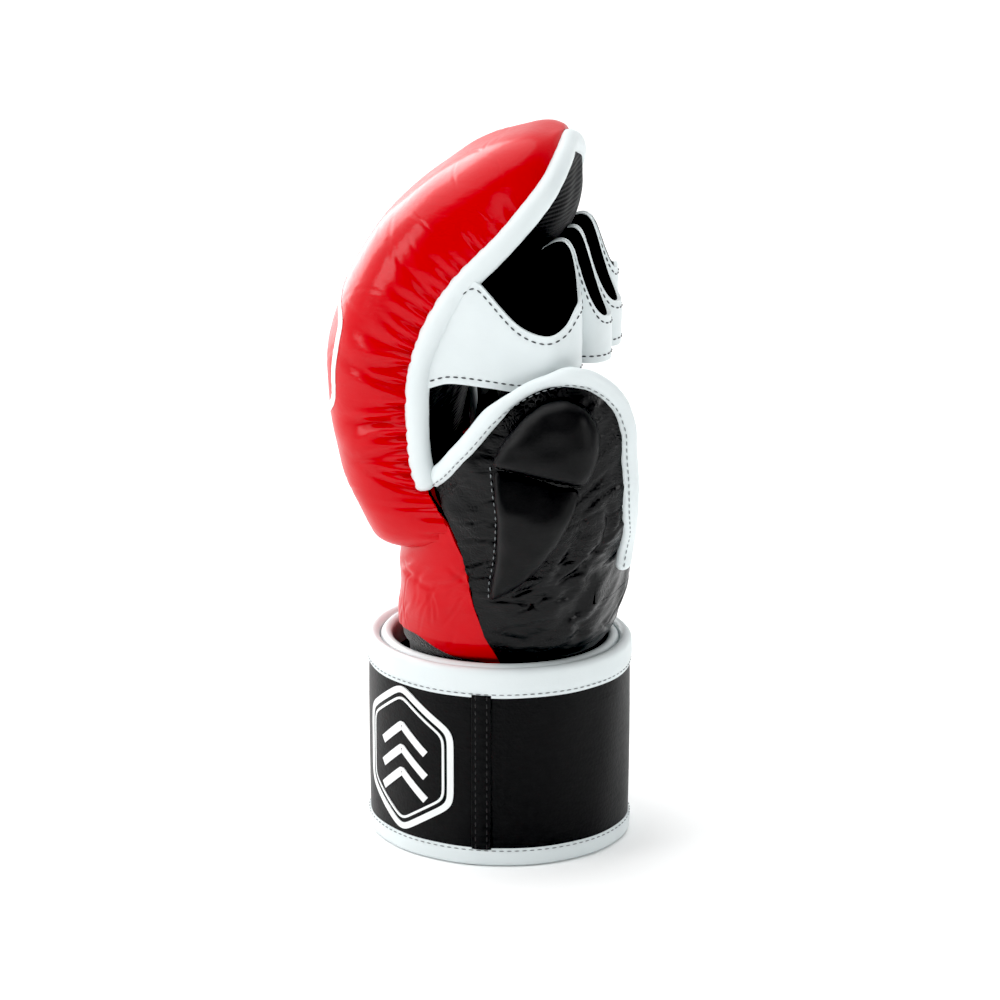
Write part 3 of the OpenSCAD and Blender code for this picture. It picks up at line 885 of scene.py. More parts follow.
class Stitching:
    """Rows of stitches, laid along lines by one tree of geometry nodes."""

    def __init__(self) -> None:
        """Builds the tree."""
        tree = bpy.data.node_groups.new("stitches", "GeometryNodeTree")
        face = tree.interface
        face.new_socket("Geometry", in_out="INPUT", socket_type="NodeSocketGeometry")
        for name, value in (("Pitch", 0.003), ("Length", 0.002), ("Width", 0.0006)):
            face.new_socket(name, in_out="INPUT", socket_type="NodeSocketFloat").default_value = value
        face.new_socket("Thread", in_out="INPUT", socket_type="NodeSocketMaterial")
        face.new_socket("Geometry", in_out="OUTPUT", socket_type="NodeSocketGeometry")
        given = tree.nodes.new("NodeGroupInput")
        line = add(tree, "GeometryNodeMeshToCurve", {"Mesh": given.outputs["Geometry"]})
        dots = add(
            tree, "GeometryNodeCurveToPoints", {"Curve": line.outputs[0], "Length": given.outputs["Pitch"]},
            mode="LENGTH",
        )
        turn = add(tree, "FunctionNodeAlignRotationToVector", {"Vector": dots.outputs["Tangent"]}, axis="Z")
        bead = add(tree, "GeometryNodeMeshUVSphere", {"Segments": 8, "Rings": 5, "Radius": 0.5})
        size = add(
            tree, "ShaderNodeCombineXYZ",
            {"X": given.outputs["Width"], "Y": given.outputs["Width"], "Z": given.outputs["Length"]},
        )
        strand = add(
            tree, "GeometryNodeTransform", {"Geometry": bead.outputs["Mesh"], "Scale": size.outputs[0]}
        )
        rows = add(
            tree, "GeometryNodeInstanceOnPoints",
            {"Points": dots.outputs["Points"], "Instance": strand.outputs[0], "Rotation": turn.outputs[0]},
        )
        real = add(tree, "GeometryNodeRealizeInstances", {"Geometry": rows.outputs[0]})
        smooth = add(tree, "GeometryNodeSetShadeSmooth", {"Geometry": real.outputs[0]})
        dressed = add(
            tree, "GeometryNodeSetMaterial",
            {"Geometry": smooth.outputs[0], "Material": given.outputs["Thread"]},
        )
        out = tree.nodes.new("NodeGroupOutput")
        tree.links.new(dressed.outputs[0], out.inputs[0])
        self.tree = tree

    def sew(
        self,
        name: str,
        lines: Sequence[Array],
        thread: Material,
        pitch: float = 3.0,
        length: float = 2.1,
        width: float = 0.55,
    ) -> Object:
        """Lays stitches along lines of points in millimetres.

        Args:
            name: The piece's name.
            lines: The lines that the stitches follow.
            thread: The thread's material.
            pitch: Distance from one stitch to the next.
            length: Length of a stitch.
            width: Its thickness.

        Returns:
            The object, as plain mesh.
        """
        mesh = bpy.data.meshes.new(name)
        edges, start = [], 0
        for line in lines:
            edges += [(start + k, start + k + 1) for k in range(len(line) - 1)]
            start += len(line)
        mesh.from_pydata((np.concatenate(list(lines)) * MM).tolist(), edges, [])
        obj = bpy.data.objects.new(name, mesh)
        bpy.context.scene.collection.objects.link(obj)
        modifier = obj.modifiers.new("Stitches", "NODES")
        modifier.node_group = self.tree
        values = {"Pitch": pitch * MM, "Length": length * MM, "Width": width * MM, "Thread": thread}
        for item in self.tree.interface.items_tree:
            if item.in_out == "INPUT" and item.name in values:
                modifier[item.identifier] = values[item.name]
        settle(obj)
        return obj


# ---- Sleeve ---------------------------------------------------------------------------------


@dataclass
class Sleeve:
    """The tube of leather round the wrist and hand, and every panel cut from its shape.

    Attributes:
        square: Squareness of its section.
        leather: Thickness of the leather.
        palm_edge: Degrees either side of the palm's middle where the side panels end.
        thumb_rings: Height, centre x, half width, centre y and half depth of the thumb side's sections.
        ulnar_rings: The same for the little-finger side.
        seam: Height and x of the seam between the red back and the black sides.
        open_edge: Height and angle of the palm opening's edge on the little-finger side.
        folds: Fine wrinkles of the thumb side.
        drapes: Long soft folds of the thumb side.
    """

    square: float = 2.5
    leather: float = 1.6
    palm_edge: float = 38.5
    thumb_rings: Array = table(
        [3, 3.3, 34.6, -0.3, 31.2], [60, 3.3, 34.6, -0.3, 31.2], [75.5, 3.6, 35.8, -0.4, 32.6],
        [78.5, 4.4, 38.4, -1, 35.8], [84, 5.8, 40, -1.6, 37.6], [97, 8, 41.5, -2.5, 41],
        [113, 9.5, 42, -3.5, 43.5], [135, 17, 44, -7, 45], [158, 20, 43, -9, 45.5],
        [178, 23, 38.5, -10.5, 42.5], [190, 25, 34, -12, 38],
    )
    ulnar_rings: Array = table(
        [3, 3.3, 34.6, -0.3, 31.2], [60, 3.3, 34.6, -0.3, 31.2], [75.5, 3.6, 35.8, -0.4, 32.6],
        [78.5, 4.4, 38.4, -1, 35.8], [84, 5.8, 40, -1.6, 37.6], [97, 8, 41.5, -2.5, 41],
        [113, 9.5, 42, -2, 45], [135, 14, 42, 0, 47.5], [158, 15, 38, 0, 49], [178, 15, 36, 0, 49],
        [190, 15, 34, 0, 49],
    )
    seam: Array = table(
        [3, 9], [78, 8.7], [88, 4.3], [100, 1], [110, -0.5], [119, -2.1], [131, -7.6], [141, -14.3],
        [146, -16],
    )
    open_edge: Array = table([94, 38.5], [113, 38.5], [118, 40], [126, 43.5], [140, 52], [155, 66], [162, 78])
    folds: Creases = Creases(7, 96, ((-92, 84), (75, 150)), (4, 12), 0.9, 0.8, (10, 26))
    drapes: Creases = Creases(13, 9, ((-46, 88), (-30, 126)), (10, 18), 3.4, 1.7, (70, 16))

    def ring(self, rings: Array, z: Array) -> Array:
        """The centre and half widths of the section at each height."""
        return along(rings, np.interp(z, rings[:, 0], np.arange(len(rings))))

    def point(self, z: Array, angle: Array, inset: Array | float = 0) -> Array:
        """A point at a height and an angle: 0 at the palm, -90 at the thumb, 180 at the back.

        Args:
            z: Height.
            angle: 0 at the palm, -90 at the thumb, 180 at the back.
            inset: Distance inside the plain shape.

        Returns:
            The points.
        """
        z, angle = np.broadcast_arrays(np.asarray(z, float), np.asarray(angle, float))
        c, s = np.cos(np.radians(angle)), np.sin(np.radians(angle))
        r = np.where((s < 0)[..., None], self.ring(self.thumb_rings, z), self.ring(self.ulnar_rings, z))
        p = 2 / self.square
        return np.stack(
            [r[..., 1] + (r[..., 2] - inset) * power(c, p), r[..., 3] + (r[..., 4] - inset) * power(s, p), z],
            axis=-1,
        )

    def angle(self, z: Array, x: Array, side: int = -1) -> Array:
        """The angle at which the sleeve passes x, on the thumb side or, with side 1, on the other."""
        r = self.ring(self.thumb_rings if side < 0 else self.ulnar_rings, np.asarray(z, float))
        t = np.clip((x - r[..., 1]) / r[..., 2], -1, 1)
        return side * np.degrees(np.arccos(power(t, self.square / 2)))

    def relief(self, z: Array, angle: Array) -> Array:
        """How far the used leather swells or creases off the plain shape.

        Args:
            z: Height.
            angle: Degrees round the sleeve.

        Returns:
            Distance outwards.
        """
        s = np.radians(angle) * 43
        p = self.point(z, angle)
        soft = undulation(p[..., 0], p[..., 1], z, 26, 1.3) * 0.6
        soft = soft + undulation(p[..., 0], p[..., 1], z, 9, 0.4) * 0.18
        return (self.folds.height(s, z) + self.drapes.height(s, z) + soft) * smoothstep(76, 86, z)

    def skin(self, z: Array, angle: Array, inset: float = 0) -> Array:
        """The leather's outside, creases included."""
        return self.point(z, angle, inset - self.relief(z, angle))

    def seam_angle(self, z: Array, side: int = -1) -> Array:
        """The angle of the seam between the red back and the black sides."""
        return self.angle(z, np.interp(z, self.seam[:, 0], self.seam[:, 1]), side)

    def opening(self, z: Array) -> Array:
        """The angle of the palm opening's edge on the little-finger side."""
        return np.interp(z, self.open_edge[:, 0], self.open_edge[:, 1])

    def panel(self, heights: Array, first: Array, last: Array, columns: int, inset: float = 0) -> Array:
        """A grid of outside points between two angles at each height."""
        share = np.linspace(0, 1, columns)[None]
        angle = first[:, None] + (last - first)[:, None] * share
        return self.skin(heights[:, None] + 0 * share, angle, inset)

    def back_relief(self, z: Array, angle: Array) -> Array:
        """Creases of the red panel: fine lines up the wrist and a fold under the knuckle pad.

        Args:
            z: Height.
            angle: Degrees round the sleeve.

        Returns:
            Distance outwards.
        """
        s = np.radians(angle + 180) * 40
        lines = Creases(21, 34, ((-62, 84), (62, 104)), (4, 12), 0.8, 0.45, (74, 12)).height(s, z)
        tuck = Creases(22, 14, ((-60, 105), (60, 113)), (4, 9), 1.3, 1.1, (12, 22)).height(s, z)
        height = lines + tuck + 0.5 * undulation(s, 0 * s, z, 30, 0.4)
        return height * smoothstep(74, 84, z) * smoothstep(141, 128, z)

    def build(self, finishes: Finishes, stitching: Stitching) -> list[Piece]:
        """Makes the sleeve's panels.

        Args:
            finishes: The glove's materials.
            stitching: Lays the stitches; not used.

        Returns:
            The pieces.
        """
        pieces = []
        share = np.linspace(0, 1, 170)[None]
        hem = 75 + 9 * (smoothstep(0.0, 0.26, share) - smoothstep(0.36, 0.55, share))
        zz = hem + (144 - hem) * np.linspace(0, 1, 150)[:, None] ** 1.15
        first, last = self.seam_angle(zz, -1), self.seam_angle(zz, 1) - 360
        angle = first + (last - first) * share
        back = self.point(zz, angle, -self.back_relief(zz, angle))
        pieces.append(Piece(
            shell("wrist_back_leather", back[:, ::-1], self.leather), finishes.red, "red_leather",
            Follow.SLEEVE.value, ("wrist_back_panel", "hand_back_panel"),
        ))
        inner = self.point(zz, angle, self.leather + 0.25 - self.back_relief(zz, angle))[8:-2]
        pieces.append(Piece(
            shell("back_lining_cloth", inner[:, ::-1], 0.6, round_edge=0.2), finishes.tricot, "lining_fabric",
            Follow.SLEEVE.value,
        ))
        z = np.linspace(24, 100, 120)
        heel = self.panel(z, self.seam_angle(z, 1), self.seam_angle(z, -1), 230)
        pieces.append(Piece(
            shell("wrist_heel_leather", heel[:, ::-1], self.leather), finishes.black, "black_leather",
            Follow.SLEEVE.value, ("wrist_heel_panel", "thumb_side_panel"),
        ))
        z = np.linspace(100, 114.5, 24)
        edge = np.full_like(z, self.palm_edge)
        palm = self.panel(z, edge, -edge, 90)
        pieces.append(Piece(
            shell("palm_heel_leather", palm[:, ::-1], self.leather), finishes.black, "black_leather",
            Follow.HAND.value, ("palm_heel_panel",),
        ))
        z = np.linspace(100, 163, 80)
        root = np.interp(
            z, [94, 100, 113, 119, 126, 131, 140, 150, 163], [98, 97.3, 101.5, 105, 114, 128, 138, 143, 146]
        )
        open_edge = self.opening(z)
        share = np.linspace(0, 1, 110)[None]
        tuck = 6.5 * smoothstep(0.30, 0.12, share) * smoothstep(118, 134, z)[:, None]
        angle = root[:, None] + (open_edge - root)[:, None] * share
        side = self.skin(z[:, None] + 0 * share, angle, tuck)
        pieces.append(Piece(
            shell("ulnar_side_leather", side[:, ::-1], self.leather), finishes.black, "black_leather",
            Follow.HAND.value, ("ulnar_side_panel",),
        ))
        z = np.linspace(24.5, 99, 60)
        turn = np.linspace(0, 360, 120, endpoint=False)
        inside = self.point(
            z[:, None] + 0 * turn[None], turn[None] + 0 * z[:, None],
            self.leather + 0.2 + 0.3 * smoothstep(70, 90, z)[:, None],
        )
        pieces.append(Piece(
            shell("sleeve_lining_cloth", inside[:, ::-1], 0.7, closed=True), finishes.pile, "lining_fabric",
            Follow.SLEEVE.value, ("sleeve_lining",),
        ))
        z = np.linspace(117.5, 160, 50)
        a = self.opening(z)
        path = self.skin(z, a, self.leather / 2) + np.array([1.6, 0, 0.5])
        pieces.append(Piece(
            tube("ulnar_edge_binding_roll", path, self.outward(z, a), 2.2, 3.4), finishes.white,
            "white_leather", Follow.HAND.value, ("ulnar_edge_binding",),
        ))
        a = np.linspace(-37, 37, 60)
        z = np.full_like(a, 114.6)
        path = self.skin(z, a, self.leather / 2) + np.array([0, 0, 1.2])
        pieces.append(Piece(
            tube("heel_edge_binding_roll", path, self.outward(z, a), 1.6, 2.6), finishes.black,
            "black_leather", Follow.HAND.value, ("heel_edge_binding",),
        ))
        return pieces

    def outward(self, z: Array, angle: Array) -> Array:
        """Unit directions out of the sleeve.

        Args:
            z: Height.
            angle: Degrees round the sleeve.

        Returns:
            The directions.
        """
        across = self.point(z, angle + 1) - self.point(z, angle - 1)
        up = self.point(z + 0.5, angle) - self.point(z - 0.5, angle)
        n = np.cross(across, up)
        return n / np.linalg.norm(n, axis=-1, keepdims=True)


# ---- Knuckle pad ----------------------------------------------------------------------------


@dataclass
class KnucklePad:
    """The thick pad over the back of the hand and fingers, its lining and its rolled edge.

    Attributes:
        rows: Edge x, edge z, half width, crown height, lining depth and tilt at each station.
        extra: How much further out the thumb side reaches at each station, to meet the thumb guard.
        square: Squareness of the shoulders.
        columns: Points from edge to edge.
        lengths: Points from the overhang to the tip.
        foot_rings: Rings that close the pad under its overhang.
    """

    rows: Array = table(
        [-12, 116.5, 25, 19, -8, -3], [-7, 120, 35.5, 34, -18, -2], [-6, 125, 41.5, 38, -17, -1],
        [-9.5, 133.5, 44.5, 38.5, -12, 0], [-17, 147, 44, 36.6, -3, 0], [-19.5, 166, 44, 38.2, 4, 0],
        [-18, 190, 44, 39.8, 8, 9], [-7, 214, 43, 38, 13, 38], [12, 235, 39.5, 32.8, 14.5, 47],
        [23.5, 250, 30, 21.5, 11, 57], [27, 259, 17, 10.5, 5.5, 66], [27, 263.5, 3, 4.5, 2, 72],
    )
    extra: Array = field(default_factory=lambda: np.array([1, 3, 3.2, 2.4, 0.8, 0, 0, 0, 0, 0, 0, 0], float))
    square: float = 3.2
    columns: int = 118
    lengths: int = 400
    foot_rings: int = 12

    def section(self, u: float, count: int, back: bool, thumb_extra: float = 0) -> Array:
        """One section of the pad's skin, as evenly spaced points from the thumb edge to the other.

        Args:
            u: Station number.
            count: Number of points.
            back: Whether it is the crown's side, or else the lining's.
            thumb_extra: Added half width on the thumb side.

        Returns:
            The points.
        """
        x, z, half, crown, depth, tilt = along(self.rows, np.array(u))
        a = np.radians(np.linspace(0, 180, 900))
        p = 2 / self.square if back else 1.0
        rise = (crown if back else -depth) * np.sin(a) ** p
        wide = half * power(np.cos(a), p)
        wide = np.where(wide > 0, wide * (1 + thumb_extra / half), wide)
        t = math.radians(tilt)
        points = np.stack([x - rise * math.cos(t), -wide, z + rise * math.sin(t)], axis=1)
        return evenly(points, count)

    def stations(self, count: int, last: float) -> Array:
        """Station numbers an equal distance apart along the edge.

        Args:
            count: How many.
            last: The last station.

        Returns:
            The station numbers.
        """
        u = np.linspace(0, last, 600)
        line = along(self.rows, u)[:, [0, 1]] + np.stack([-along(self.rows, u)[:, 3] * 0.6, 0 * u], axis=1)
        s = arc_lengths(line)
        return np.interp(np.linspace(0, s[-1], count), s, u)

    def plain_cover(self) -> Array:
        """The cover's plain shape: a closed foot under the overhang, then a section at each station."""
        u = self.stations(self.lengths, len(self.rows) - 1.0)
        extra = np.interp(u, np.arange(len(self.rows)), self.extra)
        grid = np.stack([self.section(k, self.columns, True, e) for k, e in zip(u, extra)])
        foot = grid[0]
        middle = foot.mean(axis=0) - np.array([6, 0, 0])
        caps = []
        for share in np.cos(np.radians(np.linspace(82, 10, self.foot_rings))):
            ring = middle + (foot - middle) * share
            ring[:, 2] = foot[:, 2] - 1.2 * math.sqrt(max(0.0, 1 - share**2))
            caps.append(ring)
        return np.concatenate([np.stack(caps), grid])

    def gathers(self, s: Array, d: Array, seed: int) -> Array:
        """Puckers that run from the binding up the side wall.

        Args:
            s: Distance along the edge.
            d: Distance from the edge up the wall.
            seed: Starts the scatter.

        Returns:
            The height off the plain shape.
        """
        rng = np.random.default_rng(seed)
        total = np.zeros_like(s)
        place = 20.0
        while place < 190:
            tight = math.exp(-(((place - 104) / 48) ** 2))
            deep = (0.6 + 2.5 * tight) * rng.uniform(0.5, 1.1)
            reach = (7 + 12.5 * tight) * rng.uniform(0.6, 1.3)
            wide = rng.uniform(0.8, 1.5)
            slant, curl = rng.normal() * 0.10, rng.normal() * 0.004
            x = ((s - place - slant * d - curl * d * d) / (wide * (1 + d / 24))) ** 2
            total += deep * np.exp(-((d / reach) ** 2.4)) * (0.4 * np.exp(-x / 7) - np.exp(-x))
            place += rng.uniform(2.9, 5.8) * (1.6 - 0.75 * tight)
        return total

    def shaped_cover(self) -> Array:
        """The cover with its gathers, slight swelling and tucked edges."""
        grid = self.plain_cover()
        s = np.repeat(arc_lengths(grid[:, 0])[:, None], self.columns, axis=1)
        d = np.stack([arc_lengths(row) for row in grid])
        far = d[:, -1:] - d
        soft = 0.5 * undulation(grid[..., 0], grid[..., 1], grid[..., 2], 34, 2.1)
        body = smoothstep(4, 20, np.minimum(d, far))
        height = self.gathers(s, d, 5) + self.gathers(s, far, 9) + soft * body
        fine = Creases(31, 40, ((20, 12), (190, 60)), (3, 9), 0.6, 0.22, (85, 25))
        height = height + fine.height(s, d) + fine.height(s, far)
        ends = smoothstep(0, 6, s - s[self.foot_rings])
        return grid + normals_of(grid) * (height * ends)[..., None] * self.sign(grid)

    @staticmethod
    def sign(grid: Array) -> float:
        """1 if the grid's normals point away from its middle, or else -1."""
        n = normals_of(grid)
        out = grid - grid.reshape(-1, 3).mean(axis=0)
        return 1.0 if np.einsum("ijk,ijk->", n, out) > 0 else -1.0

    def edge(self, u: Array, side: int) -> tuple[Array, Array]:
        """The line of the rolled edge and the directions across it.

        Args:
            u: Station numbers.
            side: -1 for the thumb side, 1 for the other.

        Returns:
            The line and the directions.
        """
        r = along(self.rows, u)
        line = np.stack([r[:, 0], side * np.maximum(0, r[:, 2] - 1), r[:, 1]], axis=1)
        t = np.radians(r[:, 5])
        return line, np.stack([-np.cos(t), 0 * t, np.sin(t)], axis=1)

    def build(self, finishes: Finishes, stitching: Stitching) -> list[Piece]:
        """Makes the pad's pieces.

        Args:
            finishes: The glove's materials.
            stitching: Lays the stitches; not used.

        Returns:
            The pieces.
        """
        pieces = []
        cover = self.shaped_cover()
        if self.sign(cover) < 0:
            cover = cover[:, ::-1]
        obj = shell("knuckle_pad_cover_leather", cover, 1.4, round_edge=0)
        pieces.append(Piece(
            obj, finishes.red, "red_leather", Follow.PAD.value,
            ("hand_pad_cover", "finger_pad_cover", "hand_pad_foam", "finger_pad_foam"), 0.9,
        ))
        u = self.stations(150, len(self.rows) - 1.35)
        lining = np.stack([self.section(k, 110, False) for k in u])
        low = smoothstep(3.9, 3.0, u)[:, None]
        lining[..., 0] += 1.8 * low
        lining[..., 1] *= 1 + 0.04 * low
        lining = np.concatenate([lining[:1] + np.array([[[0, 0, -4.5]]]), lining])
        ribs = 0.35 * undulation(lining[..., 0], lining[..., 1], lining[..., 2], 18, 0.9)
        lining = lining + normals_of(lining) * ribs[..., None]
        if self.sign(lining) < 0:
            lining = lining[:, ::-1]
        pieces.append(Piece(
            shell("pad_lining_cloth", lining, 0.8, round_edge=0), finishes.mesh, "lining_fabric",
            Follow.PAD.value, ("hand_pad_lining", "finger_pad_lining"),
        ))
        pieces.append(self.rolled_edge(finishes))
        pieces.append(self.badge(cover, finishes))
        return pieces

    def rolled_edge(self, finishes: Finishes) -> Piece:
        """The white binding round the pad: up one edge, over the tip and down the other.

        Args:
            finishes: The glove's materials.

        Returns:
            The piece.
        """
        u = np.concatenate([np.linspace(3.75, 10, 90), np.linspace(10.1, 10.95, 10)])
        line_a, across_a = self.edge(u, -1)
        line_b, across_b = self.edge(u[::-1], 1)
        path, across = np.concatenate([line_a, line_b]), np.concatenate([across_a, across_b])
        s = arc_lengths(path)
        even = np.linspace(0, s[-1], 330)
        path, across = resample(path, s, even), resample(across, s, even)
        ease(path, 6)
        ripple = 0.035 * np.sin(even * 0.9 + 1.2 * np.sin(even * 0.31)) + 0.06 * np.sin(even * 0.23)
        obj = tube("pad_edge_binding_roll", path, across, 4.3 + ripple, 3.7 + ripple, 24)
        return Piece(
            obj, finishes.white, "white_leather", Follow.PAD.value,
            ("hand_thumb_binding", "hand_ulnar_binding", "finger_pad_binding"),
        )

    def badge(self, cover: Array, finishes: Finishes) -> Piece:
        """A plain six-sided outline with three bars, printed on the crown.

        Args:
            cover: The cover's outside.
            finishes: The glove's materials.

        Returns:
            The piece.
        """
        surface = Surface(cover)
        m, n = cover.shape[:2]
        down, across = arc_lengths(cover[:, n // 2]), arc_lengths(cover[int(m * 0.5)])
        middle = float(np.interp(188, cover[:, n // 2, 2][self.foot_rings :], down[self.foot_rings :]))

        def lay(x: Array, y: Array, height: float) -> Array:
            """A point of the crown at a flat place, with x across and y up from the badge's middle."""
            i = np.interp(middle + y, down, np.arange(m))
            j = np.interp(across[-1] / 2 + x, across, np.arange(n))
            return surface.at(i, j, height)

        bars = [
            np.stack([np.linspace(-h, h, 30), np.full(30, t)], axis=1) for t, h in ((-9, 9), (0, 15), (9, 9))
        ]
        obj = printed("pad_badge_print", [(line, 3.2) for line in [hexagon(33, 5, 1.24)] + bars], lay, 0.3)
        return Piece(obj, finishes.ink, "white_leather", Follow.PAD.value)


def slab(top: Array, low: Array) -> tuple[Array, list[tuple[int, ...]]]:
    """A thin closed solid between two grids, as points and faces.

    Args:
        top: Its upper side.
        low: Its lower side, of the same shape.

    Returns:
        The points and the faces.
    """
    m, n = top.shape[:2]
    size = m * n
    faces = grid_faces(m, n, 0, False, False) + grid_faces(m, n, size, True, False)
    for j in range(n - 1):
        last = (m - 1) * n
        faces.append((j + 1, j, size + j, size + j + 1))
        faces.append((last + j, last + j + 1, size + last + j + 1, size + last + j))
    for i in range(m - 1):
        a, b, c, d = i * n, (i + 1) * n, i * n + n - 1, (i + 1) * n + n - 1
        faces.append((a, b, size + b, size + a))
        faces.append((d, c, size + c, size + d))
    return np.concatenate([top.reshape(-1, 3), low.reshape(-1, 3)]), faces


def hexagon(radius: float, corner: float, flat: float = 1.0) -> Array:
    """A six-sided outline with rounded corners, as a closed line that overlaps itself by one point.

    Args:
        radius: Distance from its middle to its corners.
        corner: How round the corners are.
        flat: How much wider it is than regular.

    Returns:
        The line, whose last point is its first.
    """
    turns = np.radians(np.arange(0, 361, 60) + 30)
    corners = np.stack([radius * np.cos(turns) * flat, radius * np.sin(turns)], axis=1)
    line = evenly(corners, 241)
    for _ in range(int(corner * 6)):
        ring = line[:-1]
        ring = (np.roll(ring, 1, axis=0) + 2 * ring + np.roll(ring, -1, axis=0)) / 4
        line = np.concatenate([ring, ring[:1]])
    return line


def printed(
    name: str, lines: Sequence[tuple[Array, float]], lay: Callable[[Array, Array, float], Array], sunk: float
) -> Object:
    """A print on leather: closed films of ink, let into the surface so that no gap shows.

    Args:
        name: The piece's name.
        lines: Each line of the print, laid out flat, and its width.
        lay: Gives the point at a flat place and a height above the leather.
        sunk: How far the film reaches into the leather.

    Returns:
        The object.
    """
    parts, faces, base = [], [], 0
    for line, width in lines:
        edge_a, edge_b = ribbon(line, width)
        flat = np.stack([edge_a, (edge_a + edge_b) / 2, edge_b], axis=1)
        points, found = slab(*(lay(flat[..., 0], flat[..., 1], height) for height in (INK, -sunk)))
        parts.append(points)
        faces += [tuple(v + base for v in face) for face in found]
        base += len(points)
    obj = new_object(name, np.concatenate(parts), faces)
    point_outwards(obj)
    return obj


# ---- Finger loops ---------------------------------------------------------------------------


